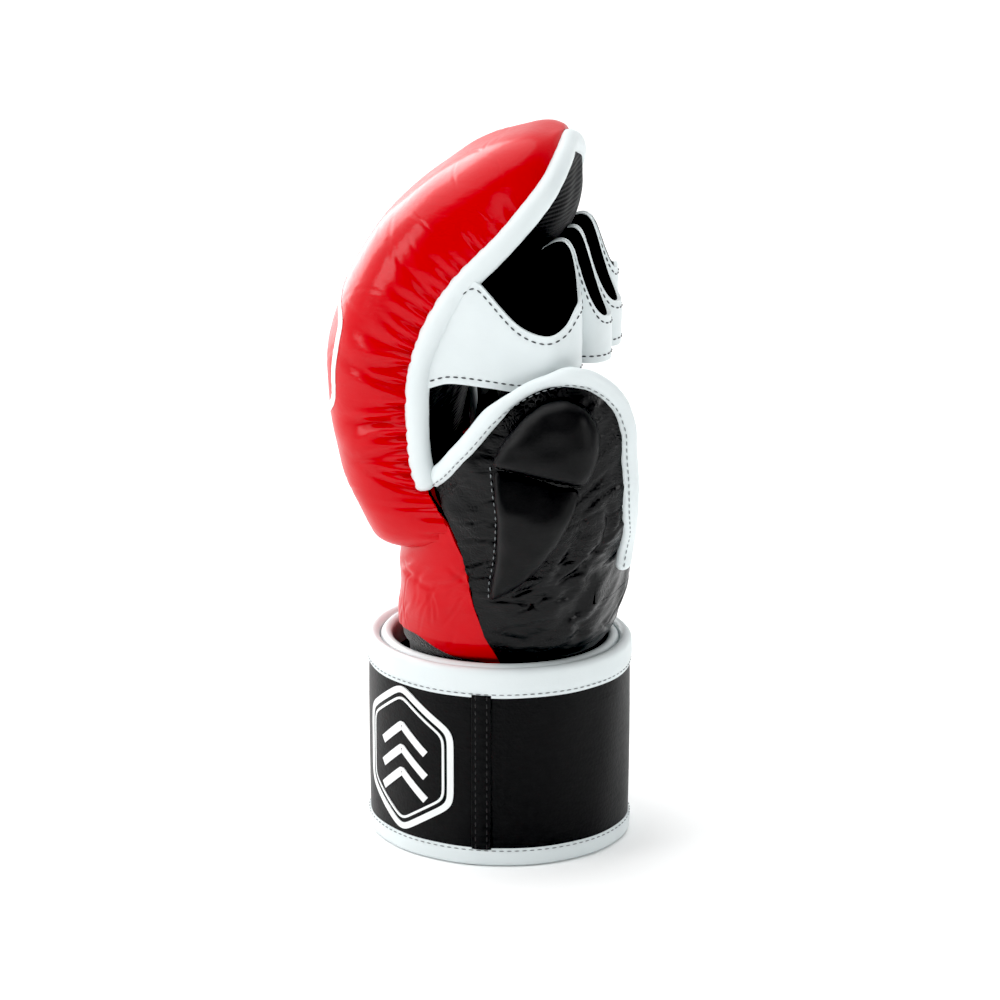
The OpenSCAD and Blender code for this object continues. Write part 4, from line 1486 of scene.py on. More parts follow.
@dataclass
class FingerLoops:
    """Four leather loops that hang from the pad's lining, black inside, sewn along both edges.

    Attributes:
        pitch: Distance from one finger to the next.
        reach: How far each loop reaches towards the palm.
        radius: Outer radius of a loop's round end.
        leather: Thickness of the leather.
        lower: Height of the lower edge.
        web: x and height of the upper edge between two fingers.
        outer_top: x and height of the upper edge on the outer sides of the first and last loop.
    """

    pitch: float = 22.5
    reach: tuple[float, ...] = (38, 45, 45, 40)
    radius: float = 10.8
    leather: float = 1.5
    lower: float = 186
    web: Array = table(
        [-18, 190], [-11, 194], [0, 208], [10, 219.5], [20, 227.5], [25, 231.6], [29, 233], [31.6, 232],
        [33.4, 229], [35.4, 222], [38.2, 213.5], [40.8, 207.6], [43, 204.3], [46, 203],
    )
    outer_top: Array = table(
        [-18.5, 188], [-16.5, 194.5], [-13.5, 202], [-7, 213], [-2, 219.5], [1.5, 221.4], [4, 219.6],
        [9, 214], [15, 207.6], [21, 203.6], [27, 202.3], [31, 203.2], [35, 206.2], [38, 211],
    )

    def line(self, k: int, inset: float) -> Array:
        """The plan of a loop: up one wall, round the end and down the other.

        Args:
            k: Number of the loop, from the index finger.
            inset: Distance inside the outer face.

        Returns:
            Rows of x, y and the side, -1 to 1.
        """
        r, cx = self.radius - inset, self.reach[k] - self.radius
        a = np.linspace(-90, 90, 41)
        start, stop = (-18.0 if k == 0 else -11.0), (-18.0 if k == 3 else -11.0)
        wall = np.linspace(start, cx, 60)[:-1]
        back = np.linspace(cx, stop, 60)[1:]
        x = np.concatenate([wall, cx + r * np.cos(np.radians(a)), back])
        y = np.concatenate([np.full(59, -r), r * np.sin(np.radians(a)), np.full(59, r)])
        side = np.concatenate([np.full(59, -1.0), a / 90, np.full(59, 1.0)])
        return np.stack([x, y + (k - 1.5) * self.pitch, side], axis=1)

    def top(self, k: int, x: Array, side: Array) -> Array:
        """Height of the upper edge at a place on the loop's plan.

        Args:
            k: Number of the loop.
            x: Place towards the palm.
            side: Place from one wall to the other, -1 to 1.

        Returns:
            The height.
        """
        web, outer = (self.curve(rows, x) for rows in (self.web, self.outer_top))
        near = outer if k == 0 else web
        far = outer if k == 3 else web
        return near + (far - near) * smoothstep(-0.5, 0.5, side)

    @staticmethod
    def curve(rows: Array, x: Array) -> Array:
        """The height of a smooth edge at each x."""
        return along(rows, np.interp(x, rows[:, 0], np.arange(len(rows))))[..., 1]

    def bottom(self, k: int, x: Array, side: Array) -> Array:
        """Height of the lower edge.

        Args:
            k: Number of the loop.
            x: Place towards the palm.
            side: Place from one wall to the other, -1 to 1.

        Returns:
            The height.
        """
        web = np.interp(x, [-12, 60], [self.lower + 4, self.lower])
        outer = self.curve(
            np.array([
                [-18, 180.6], [-8, 183.4], [6, 182.6], [18, 181.6], [27, 183.2], [34, 186.2], [46, 186]
            ]),
            x,
        )
        near = outer if k == 0 else web
        far = outer if k == 3 else web
        return near + (far - near) * smoothstep(-0.6, 0.6, side)

    def wall(self, k: int, inset: float, trim: float = 0) -> Array:
        """A grid of points on the loop, from its lower edge to its upper one.

        Args:
            k: Number of the loop.
            inset: Distance inside the outer face.
            trim: How far it stops short of both edges.

        Returns:
            The grid.
        """
        plan = evenly(self.line(k, inset), 150)
        top = self.top(k, plan[:, 0], plan[:, 2])
        ease(top, 4)
        low = self.bottom(k, plan[:, 0], plan[:, 2])
        share = np.linspace(0, 1, 34)[:, None]
        z = (low + trim)[None] + (top - low - 2 * trim)[None] * share
        grid = np.stack([plan[:, 0][None] + 0 * share, plan[:, 1][None] + 0 * share, z], axis=-1)
        swell = 0.7 * np.sin(math.pi * share) * smoothstep(8, 30, plan[:, 0])[None]
        n = normals_of(grid)
        centre = np.array([self.reach[k] - self.radius, (k - 1.5) * self.pitch])
        out = np.sign(np.einsum("ijk,ijk->", n[..., :2], grid[..., :2] - centre))
        soft = 0.12 * undulation(grid[..., 0], grid[..., 1], grid[..., 2], 11, 0.7 + k)
        return grid + n * out * (swell * 0.5 + soft)[..., None]

    def build(self, finishes: Finishes, stitching: Stitching) -> list[Piece]:
        """Makes the loops, their linings and their stitches.

        Args:
            finishes: The glove's materials.
            stitching: Lays the stitches.

        Returns:
            The pieces.
        """
        pieces = []
        for k, finger in enumerate(("index", "middle", "ring", "little")):
            outside = self.wall(k, 0)
            obj = shell(f"{finger}_loop_leather", self.outward(outside, k), self.leather)
            pieces.append(Piece(
                obj, finishes.white, "white_leather", Follow.FINGERS.value, (f"{finger}_loop",)
            ))
            inside = self.wall(k, self.leather + 0.12, 0.5)
            obj = shell(f"{finger}_loop_cloth", self.outward(inside, k), 0.7, round_edge=0.2)
            pieces.append(Piece(
                obj, finishes.tricot, "lining_fabric", Follow.FINGERS.value, (f"{finger}_loop_lining",)
            ))
            surface = Surface(self.outward(outside, k))
            rows, columns = outside.shape[:2]
            height = np.linalg.norm(outside[-1] - outside[0], axis=1)
            inset = np.clip(2.6 / height, 0, 0.45) * (rows - 1)
            j = np.arange(2, columns - 2)
            lines = [
                surface.at(inset[j], j.astype(float), 0.12),
                surface.at(rows - 1 - inset[j], j.astype(float), 0.12),
            ]
            obj = stitching.sew(f"{finger}_loop_stitches", lines, finishes.dark_thread, 2.9, 1.9, 0.62)
            pieces.append(Piece(obj, finishes.dark_thread, "white_leather", Follow.FINGERS.value))
        return pieces

    def outward(self, grid: Array, k: int) -> Array:
        """The grid turned so that its normals point out of the loop.

        Args:
            grid: Points on the loop.
            k: Number of the loop.

        Returns:
            The grid.
        """
        n = normals_of(grid)
        centre = np.array([self.reach[k] - self.radius - 12, (k - 1.5) * self.pitch, 0])
        out = grid - centre
        out[..., 2] = 0
        return grid if np.einsum("ijk,ijk->", n, out) > 0 else grid[:, ::-1]


# ---- Thumb guard ----------------------------------------------------------------------------


@dataclass
class ThumbGuard:
    """The padded half shell beside the index finger, with its binding, lining and two pads.

    Attributes:
        sleeve: The sleeve that its shape continues.
        crease: The line across the guard where its tip bends.
        lean: The crease's slope.
        rise: Height of the two pads.
        split: The line where the lower leather ends and the upper begins.
        front: Height and x of the front edge.
        palm: Height and x of the palm edge.
        tip_outline: Corners of the tip's pad, as x and z.
        base_outline: Corners of the base's pad, as x and z.
    """

    sleeve: Sleeve
    crease: float = 156.3
    lean: float = 0.22
    rise: float = 7.0
    split: float = 140.0
    front: Array = table(
        [100, 1.0], [110, -0.5], [119, -2.1], [131, -7.6], [139, -13.4], [141, -13], [144, -9], [155.5, 1],
        [168, 9.3], [176.5, 16.3], [182, 22.3], [186, 28], [190, 36],
    )
    palm: Array = table(
        [100, 42], [112, 43.6], [119, 51], [128, 54], [143, 55], [160, 55.5], [174, 55], [182, 53], [186, 50],
        [189, 46], [190, 43],
    )
    tip_outline: tuple[tuple[float, float], ...] = (
        (9.8, 157.4), (14.2, 166.5), (20.9, 175.6), (27.8, 181.2), (35.7, 182.8), (42.6, 179.4), (46.4, 172),
        (46.8, 163.5), (45, 155.6), (42, 149.9), (34, 151.7), (22, 154.5),
    )
    base_outline: tuple[tuple[float, float], ...] = (
        (10.4, 155.9), (20, 153.7), (30, 151.4), (41.2, 148.8), (38.6, 140), (32.8, 128.4), (25.6, 117.6),
        (17, 108.8), (7.2, 102.6), (8.4, 111), (10.6, 122), (11.9, 136), (11, 147),
    )

    def height(self, line: Array, x: Array) -> Array:
        """Height of a line across the guard at x."""
        return line - np.interp(line, [115, self.crease], [0, self.lean]) * (x - 26)

    def point(self, line: Array, share: Array, inset: float = 0) -> Array:
        """A point on a line, a share of the way from the palm edge to the front edge.

        Args:
            line: The line across the guard.
            share: 0 at the palm edge, 1 at the front edge.
            inset: Distance inside the outside.

        Returns:
            The points.
        """
        xp, xf = np.interp(line, self.palm[:, 0], self.palm[:, 1]), np.interp(
            line, self.front[:, 0], self.front[:, 1]
        )
        ap, af = self.sleeve.angle(self.height(line, xp), xp), self.sleeve.angle(self.height(line, xf), xf)
        a = ap + (af - ap) * share
        z = line + 0 * a
        for _ in range(3):
            z = self.height(line, self.sleeve.point(z, a)[..., 0])
        return self.sleeve.skin(z, a, inset)

    def panel(self, lines: Array, inset: float, columns: int = 110) -> Array:
        """A grid of points on the guard."""
        share = np.linspace(0, 1, columns)[None]
        return self.point(lines[:, None] + 0 * share, share + 0 * lines[:, None], inset)

    def on_guard(self, x: Array, z: Array, out: Array | float) -> Array:
        """A point at x and z, a height above the guard."""
        return self.sleeve.point(z, self.sleeve.angle(z, x), -np.asarray(out))

    def pad(self, name: str, outline: Sequence[tuple[float, float]], ridge: float) -> Array:
        """The outside of a pad, as rings from its sewn edge to its top.

        Args:
            name: The pad's name, which starts its own swelling.
            outline: Its corners, as x and z.
            ridge: How full its sides are: higher stands up more steeply.

        Returns:
            The rings.
        """
        closed = list(outline) + [outline[0]]
        line = self.rounded(np.array(closed, float))
        middle = line.mean(axis=0)
        rings = []
        for t in np.concatenate([[0.0], np.linspace(0.02, 1, 34)]):
            share = 1 - t**1.15
            ring = middle + (line - middle) * (1.0 if t == 0 else max(share, 0.002) * 0.995)
            lift = -1.0 if t == 0 else self.rise * (1 - (1 - min(1.0, t * 1.25)) ** ridge) ** 0.5
            seed = 3.1 if name.endswith("tip") else 1.9
            if name.endswith("base"):
                below = self.crease - self.lean * (ring[:, 0] - 12) - ring[:, 1]
                lift = lift * (0.35 + 0.65 * smoothstep(0, 17, below))
            soft = 0.25 * undulation(ring[:, 0], 0 * ring[:, 0], ring[:, 1], 14, seed)
            rings.append(self.on_guard(ring[:, 0], ring[:, 1], lift + soft * min(1.0, t * 3)))
        return np.stack(rings)

    def rounded(self, corners: Array) -> Array:
        """A closed outline with evenly spaced points and slightly rounded corners."""
        line = evenly(corners, 161)[:-1]
        for _ in range(10):
            line = (np.roll(line, 1, axis=0) + 2 * line + np.roll(line, -1, axis=0)) / 4
        return line

    def binding_path(self) -> tuple[Array, Array]:
        """The line of the guard's rolled edge and the directions out of the guard along it.

        Returns:
            The line and the directions.
        """
        lines = np.concatenate([np.linspace(139.5, 188, 64), np.full(20, 190.0), np.linspace(188, 122, 90)])
        share = np.concatenate([np.ones(64), np.linspace(0.96, 0.04, 20), np.zeros(90)])
        path = self.point(lines, share, 0.6)
        probe = self.point(lines, share, -2)
        drop = np.linspace(0.7, 10, 14)[:, None]
        path = np.concatenate([path, path[-1] + drop * np.array([-0.10, 0.02, -1])])
        probe = np.concatenate([probe, probe[-1] + drop * np.array([-0.10, 0.02, -1])])
        out = probe - path
        out /= np.linalg.norm(out, axis=1, keepdims=True)
        path = path + self.sideways(path, out) * 2.0
        s = arc_lengths(path)
        even = np.linspace(0, s[-1], 230)
        path, out = resample(path, s, even), resample(out, s, even)
        palm_side = 150
        for line in (path, out):
            ease(line, 12)
            ease(line[palm_side:], 90)
        lift = 1.1 * smoothstep(palm_side, palm_side + 40, np.arange(len(path)))
        return path + out * lift[:, None], out

    def sideways(self, path: Array, out: Array) -> Array:
        """Directions across the rolled edge, away from the middle of the guard.

        Args:
            path: The line of the edge.
            out: Directions out of the guard along it.

        Returns:
            A unit direction at each point.
        """
        off = np.cross(out, heading(path))
        centre = self.point(np.array([150.0]), np.array([0.5]))[0]
        return off * np.sign(np.einsum("ij,ij->", off, path - centre))

    @staticmethod
    def binding_width(path: Array) -> Array:
        """Half width of the rolled edge, which is pinched where it passes under the index loop."""
        under = smoothstep(8, 18, path[:, 0]) * smoothstep(37, 28, path[:, 0]) * smoothstep(
            168, 178, path[:, 2]
        )
        return 3.7 - 1.4 * under * (path[:, 1] < -40)

    def build(self, finishes: Finishes, stitching: Stitching) -> list[Piece]:
        """Makes the guard's pieces.

        Args:
            finishes: The glove's materials.
            stitching: Lays the stitches.

        Returns:
            The pieces.
        """
        pieces = []
        low, high = np.linspace(100, self.split, 90), np.linspace(self.split, 190, 110)
        parts = (
            ("thumb_base", low, Follow.THUMB_FOLD, ("thumb_base_cover",)),
            ("thumb_tip", high, Follow.CREASE, ("thumb_tip_cover",)),
        )
        for name, lines, follow, nodes in parts:
            grid = self.panel(lines, 0)
            pieces.append(Piece(
                shell(f"{name}_leather", grid[:, ::-1], 1.6), finishes.black, "black_leather", follow.value,
                nodes,
            ))
            inside = self.panel(lines, 1.7, 80)
            cloth = shell(f"{name}_cloth", inside[:, ::-1], 0.7, round_edge=0.2)
            pieces.append(Piece(cloth, finishes.tricot, "lining_fabric", follow.value, (name + "_lining",)))
        for name, outline, ridge, follow in (
            ("thumb_pad_base", self.base_outline, 2.6, Follow.THUMB),
            ("thumb_pad_tip", self.tip_outline, 3.0, Follow.TIP),
        ):
            rings = self.pad(name, outline, ridge)
            short = name.split("_")[-1]
            pieces.append(Piece(
                loft(name, rings), finishes.smooth, "black_leather", follow.value,
                (f"thumb_{short}_pad", f"thumb_{short}_foam"), 0.9,
            ))
        path, out = self.binding_path()
        pieces.append(Piece(
            tube("thumb_edge_binding_roll", path, out, 2.5, self.binding_width(path), 22), finishes.white,
            "white_leather", Follow.CREASE.value,
            ("thumb_base_front_binding", "thumb_base_palm_binding", "thumb_tip_binding"),
        ))
        line = path - self.sideways(path, out) * 2.5 + out * 2.1
        obj = stitching.sew("thumb_edge_stitches", [line[4:-4]], finishes.grey_thread, 2.7, 1.8, 0.45)
        pieces.append(Piece(obj, finishes.grey_thread, "white_leather", Follow.CREASE.value))
        ring = self.base_outline
        left = smooth_line(
            [ring[0], ring[-1], ring[-2], ring[-3], ring[-4], (7.9, 105.5)], 60
        ) + np.array([-0.9, 0])
        line = self.on_guard(left[:, 0], left[:, 1], 0.9)
        obj = stitching.sew("thumb_pad_side_stitches", [line], finishes.grey_thread, 2.6, 1.5, 0.5)
        pieces.append(Piece(obj, finishes.grey_thread, "black_leather", Follow.THUMB.value))
        top = smooth_line([(12, 156.4), (20, 154.6), (30, 152.2), (40, 149.9)], 40)
        line = self.on_guard(top[:, 0], top[:, 1], 1.1)
        obj = stitching.sew("thumb_pad_top_stitches", [line], finishes.black_thread, 2.6, 1.7, 0.55)
        pieces.append(Piece(obj, finishes.black_thread, "black_leather", Follow.THUMB.value))
        turn = np.radians(np.linspace(0, 360, 60, endpoint=False))
        z = np.linspace(130.2, 147.8, 14)[:, None]
        band = np.stack(
            [
                30 + 12.3 * np.cos(turn)[None] + 0 * z, -35.5 + 12.3 * np.sin(turn)[None] + 0 * z,
                z + 0 * turn[None],
            ],
            axis=-1,
        )
        obj = shell("thumb_hold_elastic", band[:, ::-1], 0.9, closed=True, round_edge=0.2)
        pieces.append(Piece(obj, finishes.elastic, "elastic", Follow.THUMB.value, ("thumb_loop",)))
        return pieces


# ---- Wrist wrap -----------------------------------------------------------------------------


@dataclass
class WristWrap:
    """The strap wound twice round the wrist, with its bound edges, seam, tapes and print.

    Attributes:
        centre_x: Middle of the wrap.
        half_x: Half width of its inside, palm to back.
        half_y: Half width of its inside, side to side.
        pitch: How far one turn stands outside the last.
        height: Height of the wrap.
        top_rim: Height of the bound rim at the top.
        bottom_rim: Height of the bound rim at the bottom.
        rim: Thickness of the rims.
        panel: Thickness of the strap between them.
        print_winding: Winding at the middle of the print.
        print_height: Height of the middle of the print.
    """

    centre_x: float = 3.3
    half_x: float = 37.7
    half_y: float = 34.1
    pitch: float = 4.9
    height: float = 77.0
    top_rim: float = 10.0
    bottom_rim: float = 6.5
    rim: float = 4.6
    panel: float = 3.6
    print_winding: float = 578.5
    print_height: float = 37.0

    def point(self, winding: Array, out: Array | float, z: Array | float) -> Array:
        """A point of the strap: degrees of winding, distance from its inner face, height.

        Args:
            winding: Degrees of winding.
            out: Distance from the strap's inner face.
            z: Height.

        Returns:
            The points.
        """
        winding, out, z = np.broadcast_arrays(
            np.asarray(winding, float), np.asarray(out, float), np.asarray(z, float)
        )
        a = np.radians(90 - winding)
        grow = self.pitch * winding / 360 + out
        return np.stack(
            [self.centre_x + (self.half_x + grow) * np.cos(a), (self.half_y + grow) * np.sin(a), z], axis=-1
        )

    def sweep(self, name: str, start: float, stop: float, profile: Array) -> Object:
        """A length of strap with a closed profile.

        Args:
            name: The piece's name.
            start: Winding where it starts.
            stop: Winding where it ends.
            profile: Rows of distance out and height, in order round the profile.

        Returns:
            The object.
        """
        windings = np.linspace(start, stop, max(8, int((stop - start) / 1.6)))
        w = windings[:, None] + 0 * profile[None, :, 0]
        wave = 0.16 * np.sin(w * 0.21 + profile[None, :, 1] * 0.05) + 0.12 * np.sin(w * 0.083 + 1.1)
        outer = profile[None, :, 0] > self.rim / 2
        return loft(
            name, self.point(w, profile[None, :, 0] + wave * outer * 0.6, profile[None, :, 1] + 0 * w)
        )

    def rim_profile(self, low: float, high: float, up: bool) -> Array:
        """A rolled rim: full and round at the strap's edge, pressed down where it is sewn.

        Args:
            low: Its lower height.
            high: Its upper height.
            up: Whether the strap's edge is the upper one.

        Returns:
            The profile, in order round it.
        """
        t = np.linspace(0, 1, 9)
        edge, sewn = (high, low) if up else (low, high)
        r = self.rim / 2
        arc = np.radians(np.linspace(0, 180, 11))
        crown = [(r + r * math.cos(a), edge - math.copysign(r * (1 - math.sin(a)), edge - sewn)) for a in arc]
        (_, front), (_, rear) = crown[0], crown[-1]
        swell = [self.rim - 0.42 * smoothstep(0.62, 0.9, k) + 0.1 * math.sin(math.pi * k) for k in t[1:]]
        face = [(out, front + (sewn - front) * k) for out, k in zip(swell, t[1:])]
        inner = [(0.35 * k, rear + (sewn - rear) * k) for k in t[1:]]
        return np.array(face[::-1] + crown + inner, float)

    def panel_profile(self) -> Array:
        """The padded strap between its rims, slightly crowned."""
        low, high = self.bottom_rim - 1.2, self.height - self.top_rim + 1.2
        z = np.linspace(low, high, 40)
        inner, outer = (self.rim - self.panel) / 2, (self.rim + self.panel) / 2
        face = np.stack([outer - 0.30 + 0.32 * np.sin(np.pi * (z - low) / (high - low)) ** 0.5, z], axis=1)
        back = np.stack([np.full(12, inner + 0.2), np.linspace(high, low, 12)], axis=1)
        return np.concatenate([face, back])

    def length(
        self,
        prefix: str,
        start: float,
        stop: float,
        follow: Moves,
        nodes: tuple[str, ...],
        finishes: Finishes,
    ) -> list[Piece]:
        """One length of strap: its panel and both rims.

        Args:
            prefix: Start of the pieces' names.
            start: Winding where it starts.
            stop: Winding where it ends.
            follow: How it moves.
            nodes: Starts of the CAD nodes' names that it stands for.
            finishes: The glove's materials.

        Returns:
            The pieces.
        """
        top = self.rim_profile(self.height - self.top_rim - 1.0, self.height, True)
        bottom = self.rim_profile(0.0, self.bottom_rim + 0.8, False)
        kinds = (
            ("panel", self.panel_profile(), finishes.strap, "strap_leather"),
            ("top_binding", top, finishes.white, "white_leather"),
            ("bottom_binding", bottom, finishes.white, "white_leather"),
        )
        return [
            Piece(
                self.sweep(f"{prefix}_{kind}", start, stop, profile), finish, slot, follow,
                tuple(f"{n}_{kind}" for n in nodes),
            )
            for kind, profile, finish, slot in kinds
        ]

    def bend(self, winding: float, body: str, other: str, reach: float = 7, turn: float = 0) -> Moves:
        """A bend of the flap round its hinge.

        Args:
            winding: Where the hinge is.
            body: The body before it.
            other: The body after it.
            reach: Degrees of winding either side over which it bends.
            turn: Degrees by which the bend's direction is turned towards the outside.

        Returns:
            How a piece over the hinge moves.
        """
        a, b = self.point(winding - reach, self.rim, 38.5), self.point(winding + reach, self.rim, 38.5)
        d, c, s = b - a, math.cos(math.radians(turn)), math.sin(math.radians(turn))
        b = a + np.array([d[0] * c - d[1] * s, d[0] * s + d[1] * c, 0])
        return Moves(body, other, tuple(a), tuple(b))

    def rows(self, start: float, stop: float, heights: Sequence[float], out: float) -> list[Array]:
        """Lines for stitches along the strap."""
        w = np.linspace(start, stop, int((stop - start)) + 2)
        return [self.point(w, out, z) for z in heights]

    def build(self, finishes: Finishes, stitching: Stitching) -> list[Piece]:
        """Makes the wrap's pieces.

        Args:
            finishes: The glove's materials.
            stitching: Lays the stitches.

        Returns:
            The pieces.
        """
        root = self.bend(539, "wrist", "flap_root", 6, 35)
        mid = self.bend(612, "flap_root", "flap_mid", 6)
        tip = self.bend(666, "flap_mid", "flap_tip", 6)
        pieces = self.length("wrap_inner", 0, 360, Follow.WRIST.value, ("wrap_inner",), finishes)
        pieces += self.length("wrap_outer", 360, 600, root, ("wrap_outer", "flap_root"), finishes)
        pieces += self.length("flap_mid", 600, 640, mid, ("flap_mid",), finishes)
        pieces += self.length("flap_tip", 640, 706, tip, ("flap_tip",), finishes)
        stitch_heights = (self.height - self.top_rim + 0.4, self.bottom_rim - 0.1)
        for name, start, stop, follow in (
            ("wrap_outer", 362, 600, root), ("flap_mid", 600, 640, mid), ("flap_tip", 640, 704, tip)
        ):
            obj = stitching.sew(
                f"{name}_stitches", self.rows(start, stop, stitch_heights, self.rim - 0.12),
                finishes.grey_thread, 2.8, 1.9, 0.42,
            )
            pieces.append(Piece(obj, finishes.grey_thread, "white_leather", follow))
        seams = [self.point(np.full(40, w), self.rim - 0.02, np.linspace(8, 66, 40)) for w in (536.6, 541.4)]
        obj = stitching.sew("wrap_seam_stitches", seams, finishes.black_thread, 2.9, 2.0, 0.6)
        pieces.append(Piece(obj, finishes.black_thread, "strap_leather", root))
        turn, z = np.linspace(534.8, 543.2, 24)[None], np.linspace(6.8, 67, 50)[:, None]
        lift = 0.30 + 0.14 * np.cos((turn - 539) / 4.2 * math.pi) + 0.08 * np.sin(z * 1.4)
        welt = self.point(turn + 0 * z, (self.rim + self.panel) / 2 + lift - 0.2, z + 0 * turn)
        pieces.append(Piece(
            shell("wrap_seam_welt", welt, 0.5, round_edge=0.15), finishes.strap, "strap_leather", root
        ))
        turn = np.linspace(4, 352, 200)[None]
        z = np.linspace(7.5, 76, 40)[:, None]
        fuzz = 0.22 * undulation(turn * 0.8 + 0 * z, 0 * turn + 0 * z, z + 0 * turn, 6, 0.8)
        cloth = self.point(turn + 0 * z, 0.45 + fuzz * 0.4, z + 0 * turn)
        pieces.append(Piece(
            shell("wrap_lining_pile", cloth, 0.9), finishes.pile, "wrap_fabric", Follow.WRIST.value,
            ("wrap_lining",),
        ))
        for name, start, stop, out, low, high, finish, slot, follow, node in (
            (
                "loop_patch_pile",
                196,
                344,
                4.42,
                14,
                60,
                finishes.pile,
                "velour_tape",
                Follow.WRIST.value,
                "loop_patch",
            ),
            (
                "hook_patch_tape",
                672,
                698,
                0.45,
                16,
                58,
                finishes.hooks,
                "hook_tape",
                Follow.FLAP_TIP.value,
                "hook_patch",
            ),
        ):
            turn = np.linspace(start, stop, 70)[None]
            z = np.linspace(low, high, 24)[:, None]
            grid = self.point(turn + 0 * z, out, z + 0 * turn)
            pieces.append(Piece(shell(name, grid, 0.4, round_edge=0.1), finish, slot, follow, (node,)))
        heights = np.linspace(0.5, 76.5, 80)
        path = self.point(706.6, self.rim / 2, heights)
        out = self.point(706.6, self.rim, heights) - self.point(706.6, 0, heights)
        pieces.append(Piece(
            tube("flap_end_binding_roll", path, out, self.rim / 2, 2.4, 24), finishes.white, "white_leather",
            Follow.FLAP_TIP.value, ("flap_end_binding",),
        ))
        pieces.append(self.print(finishes))
        return pieces

    def print(self, finishes: Finishes) -> Piece:
        """A plain six-sided outline with chevrons, printed on the flap's first length.

        Args:
            finishes: The glove's materials.

        Returns:
            The piece.
        """
        per_degree = math.pi * 46.5 / 180
        outer = (self.rim + self.panel) / 2

        def lay(x: Array, y: Array, height: float) -> Array:
            """A point of the strap at a flat place, with x along it and y up from the print's middle."""
            return self.point(self.print_winding + x / per_degree, outer + height, self.print_height + y)

        lines = [(hexagon(28, 6, 0.86), 2.4), (hexagon(24.3, 5, 0.86), 0.9)]
        for shift in (-9, 0, 9):
            chevron = np.array([[-11, shift - 5], [0, shift + 4], [11, shift - 5]], float)
            lines.append((evenly(chevron, 40), 3.0))
        obj = printed("flap_badge_print", lines, lay, 0.5)
        return Piece(obj, finishes.ink, "white_leather", Follow.FLAP_ROOT.value)


# ---- Studio ---------------------------------------------------------------------------------


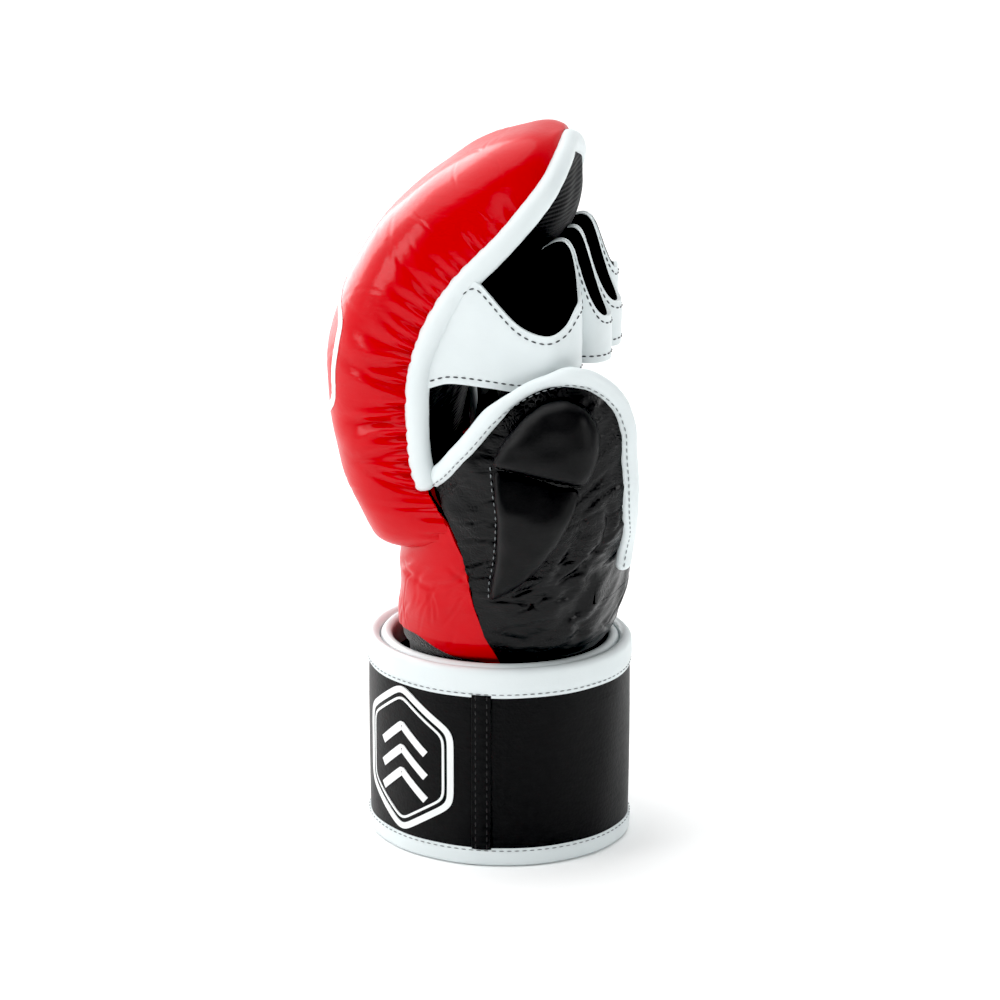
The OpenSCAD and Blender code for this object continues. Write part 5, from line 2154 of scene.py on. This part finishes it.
@dataclass
class Studio:
    """A pale floor, soft light and the camera.

    Attributes:
        azimuth: Where the camera stands: 0 looks along +Y, 90 along -X.
        elevation: Its height above the level, in degrees.
        distance: Its distance from what it looks at.
        target: The point in the middle of its view, in millimetres.
        lens: Focal length.
        shift: How far the view is moved across and up, as a share of its width.
        black_level: Level that is shown as black.
    """

    azimuth: float = 11
    elevation: float = 17
    distance: float = 1.4
    target: Point = (0, 0, 130)
    lens: float = 136.2
    shift: tuple[float, float] = (0.006, -0.007)
    black_level: float = 0.018

    def camera(self) -> None:
        """Makes the camera."""
        a, e = math.radians(self.azimuth), math.radians(self.elevation)
        back = Vector((math.sin(a) * math.cos(e), -math.cos(a) * math.cos(e), math.sin(e)))
        data = bpy.data.cameras.new("camera")
        data.lens, data.sensor_width = self.lens, 36
        data.shift_x, data.shift_y = self.shift
        obj = bpy.data.objects.new("camera", data)
        obj.location = Vector(self.target) * MM + back * self.distance
        obj.rotation_mode = "QUATERNION"
        obj.rotation_quaternion = (-back).to_track_quat("-Z", "Y")
        bpy.context.scene.collection.objects.link(obj)
        bpy.context.scene.camera = obj

    def softbox(self, name: str, place: Point, size: float, power_w: float, rim: bool = False) -> None:
        """Adds a square lamp that faces the glove.

        Args:
            name: Its name.
            place: Where it stands, in metres.
            size: Length of its sides, in metres.
            power_w: Its power in watts.
            rim: Whether it shows only in reflections.
        """
        data = bpy.data.lights.new(name, "AREA")
        data.shape, data.size, data.energy = "SQUARE", size, power_w
        obj = bpy.data.objects.new(name, data)
        obj.location = place
        obj.rotation_mode = "QUATERNION"
        obj.rotation_quaternion = (Vector((0, 0, 0.13)) - obj.location).to_track_quat("-Z", "Y")
        obj.visible_camera = False
        obj.visible_diffuse = not rim
        bpy.context.scene.collection.objects.link(obj)

    def sunlight(self, way: Point, strength: float, spread: float) -> None:
        """Adds a distant lamp.

        Args:
            way: Direction that it shines from.
            strength: Its strength.
            spread: How wide it looks, in degrees.
        """
        data = bpy.data.lights.new("high_light", "SUN")
        data.energy, data.angle = strength, math.radians(spread)
        obj = bpy.data.objects.new("high_light", data)
        obj.rotation_mode = "QUATERNION"
        obj.rotation_quaternion = (-Vector(way)).to_track_quat("-Z", "Y")
        bpy.context.scene.collection.objects.link(obj)

    def build(self) -> None:
        """Makes the floor, the light and the camera."""
        self.camera()
        mesh = bpy.data.meshes.new("floor")
        r = 6.0  # half the floor's width, in metres
        mesh.from_pydata([(-r, -r, 0), (r, -r, 0), (r, r, 0), (-r, r, 0)], [], [(0, 1, 2, 3)])
        floor = bpy.data.objects.new("floor", mesh)
        bpy.context.scene.collection.objects.link(floor)
        material, tree, out = blank_material("white_seamless_paper")
        place = add(tree, "ShaderNodeTexCoord").outputs["Object"]
        tooth = add(tree, "ShaderNodeTexNoise", {"Vector": place, "Scale": 60.0, "Detail": 3.0})
        rough = add(tree, "ShaderNodeMapRange", {"Value": tooth.outputs["Fac"], "To Min": 0.8, "To Max": 0.9})
        paper = add(
            tree, "ShaderNodeBsdfPrincipled", {"Base Color": linear("#FBFCFC"), "Roughness": rough.outputs[0]}
        )
        tree.links.new(paper.outputs[0], out.inputs[0])
        floor.data.materials.append(material)
        world = bpy.data.worlds.new("studio")
        world.use_nodes = True
        tree = world.node_tree
        tree.nodes.clear()
        way = add(tree, "ShaderNodeTexCoord").outputs["Generated"]
        lean = add(tree, "ShaderNodeVectorMath", {0: way, 1: (-0.45, 0.8, 0.35)}, operation="DOT_PRODUCT")
        level = add(
            tree, "ShaderNodeMapRange",
            {
                "Value": lean.outputs["Value"], "From Min": -0.5, "From Max": 0.5, "To Min": 0.07,
                "To Max": 0.9,
            },
        )
        sky = add(tree, "ShaderNodeBackground", {"Color": (1.0, 1.0, 1.0, 1), "Strength": level.outputs[0]})
        add(tree, "ShaderNodeOutputWorld", {"Surface": sky.outputs[0]})
        bpy.context.scene.world = world
        view = bpy.context.scene.view_settings
        view.view_transform = "Standard"
        view.use_curve_mapping = True
        view.curve_mapping.black_level = (self.black_level,) * 3
        view.curve_mapping.update()
        self.sunlight((-0.40, 0.10, 1.0), 2.4, 80)
        self.softbox("back_box", (-1.00, 0.85, 0.55), 1.2, 24, rim=True)
        self.softbox("right_box", (1.05, -0.60, 0.50), 0.30, 3.2)
        self.softbox("left_box", (-0.95, -0.60, 0.55), 0.45, 3.4)
        self.softbox("near_box", (0.25, -1.25, 0.75), 0.5, 1.6)


# ---- The glove ------------------------------------------------------------------------------


def main() -> None:
    """Builds the glove from its parts and reports each piece."""
    logging.basicConfig(level=logging.INFO, format="%(name)s: %(message)s")
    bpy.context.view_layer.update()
    Studio().build()
    finishes, stitching, sleeve = Finishes(), Stitching(), Sleeve()
    for maker in (sleeve, KnucklePad(), FingerLoops(), ThumbGuard(sleeve), WristWrap()):
        for piece in maker.build(finishes, stitching):
            piece.hand_over()


if __name__ == "__main__":
    main()
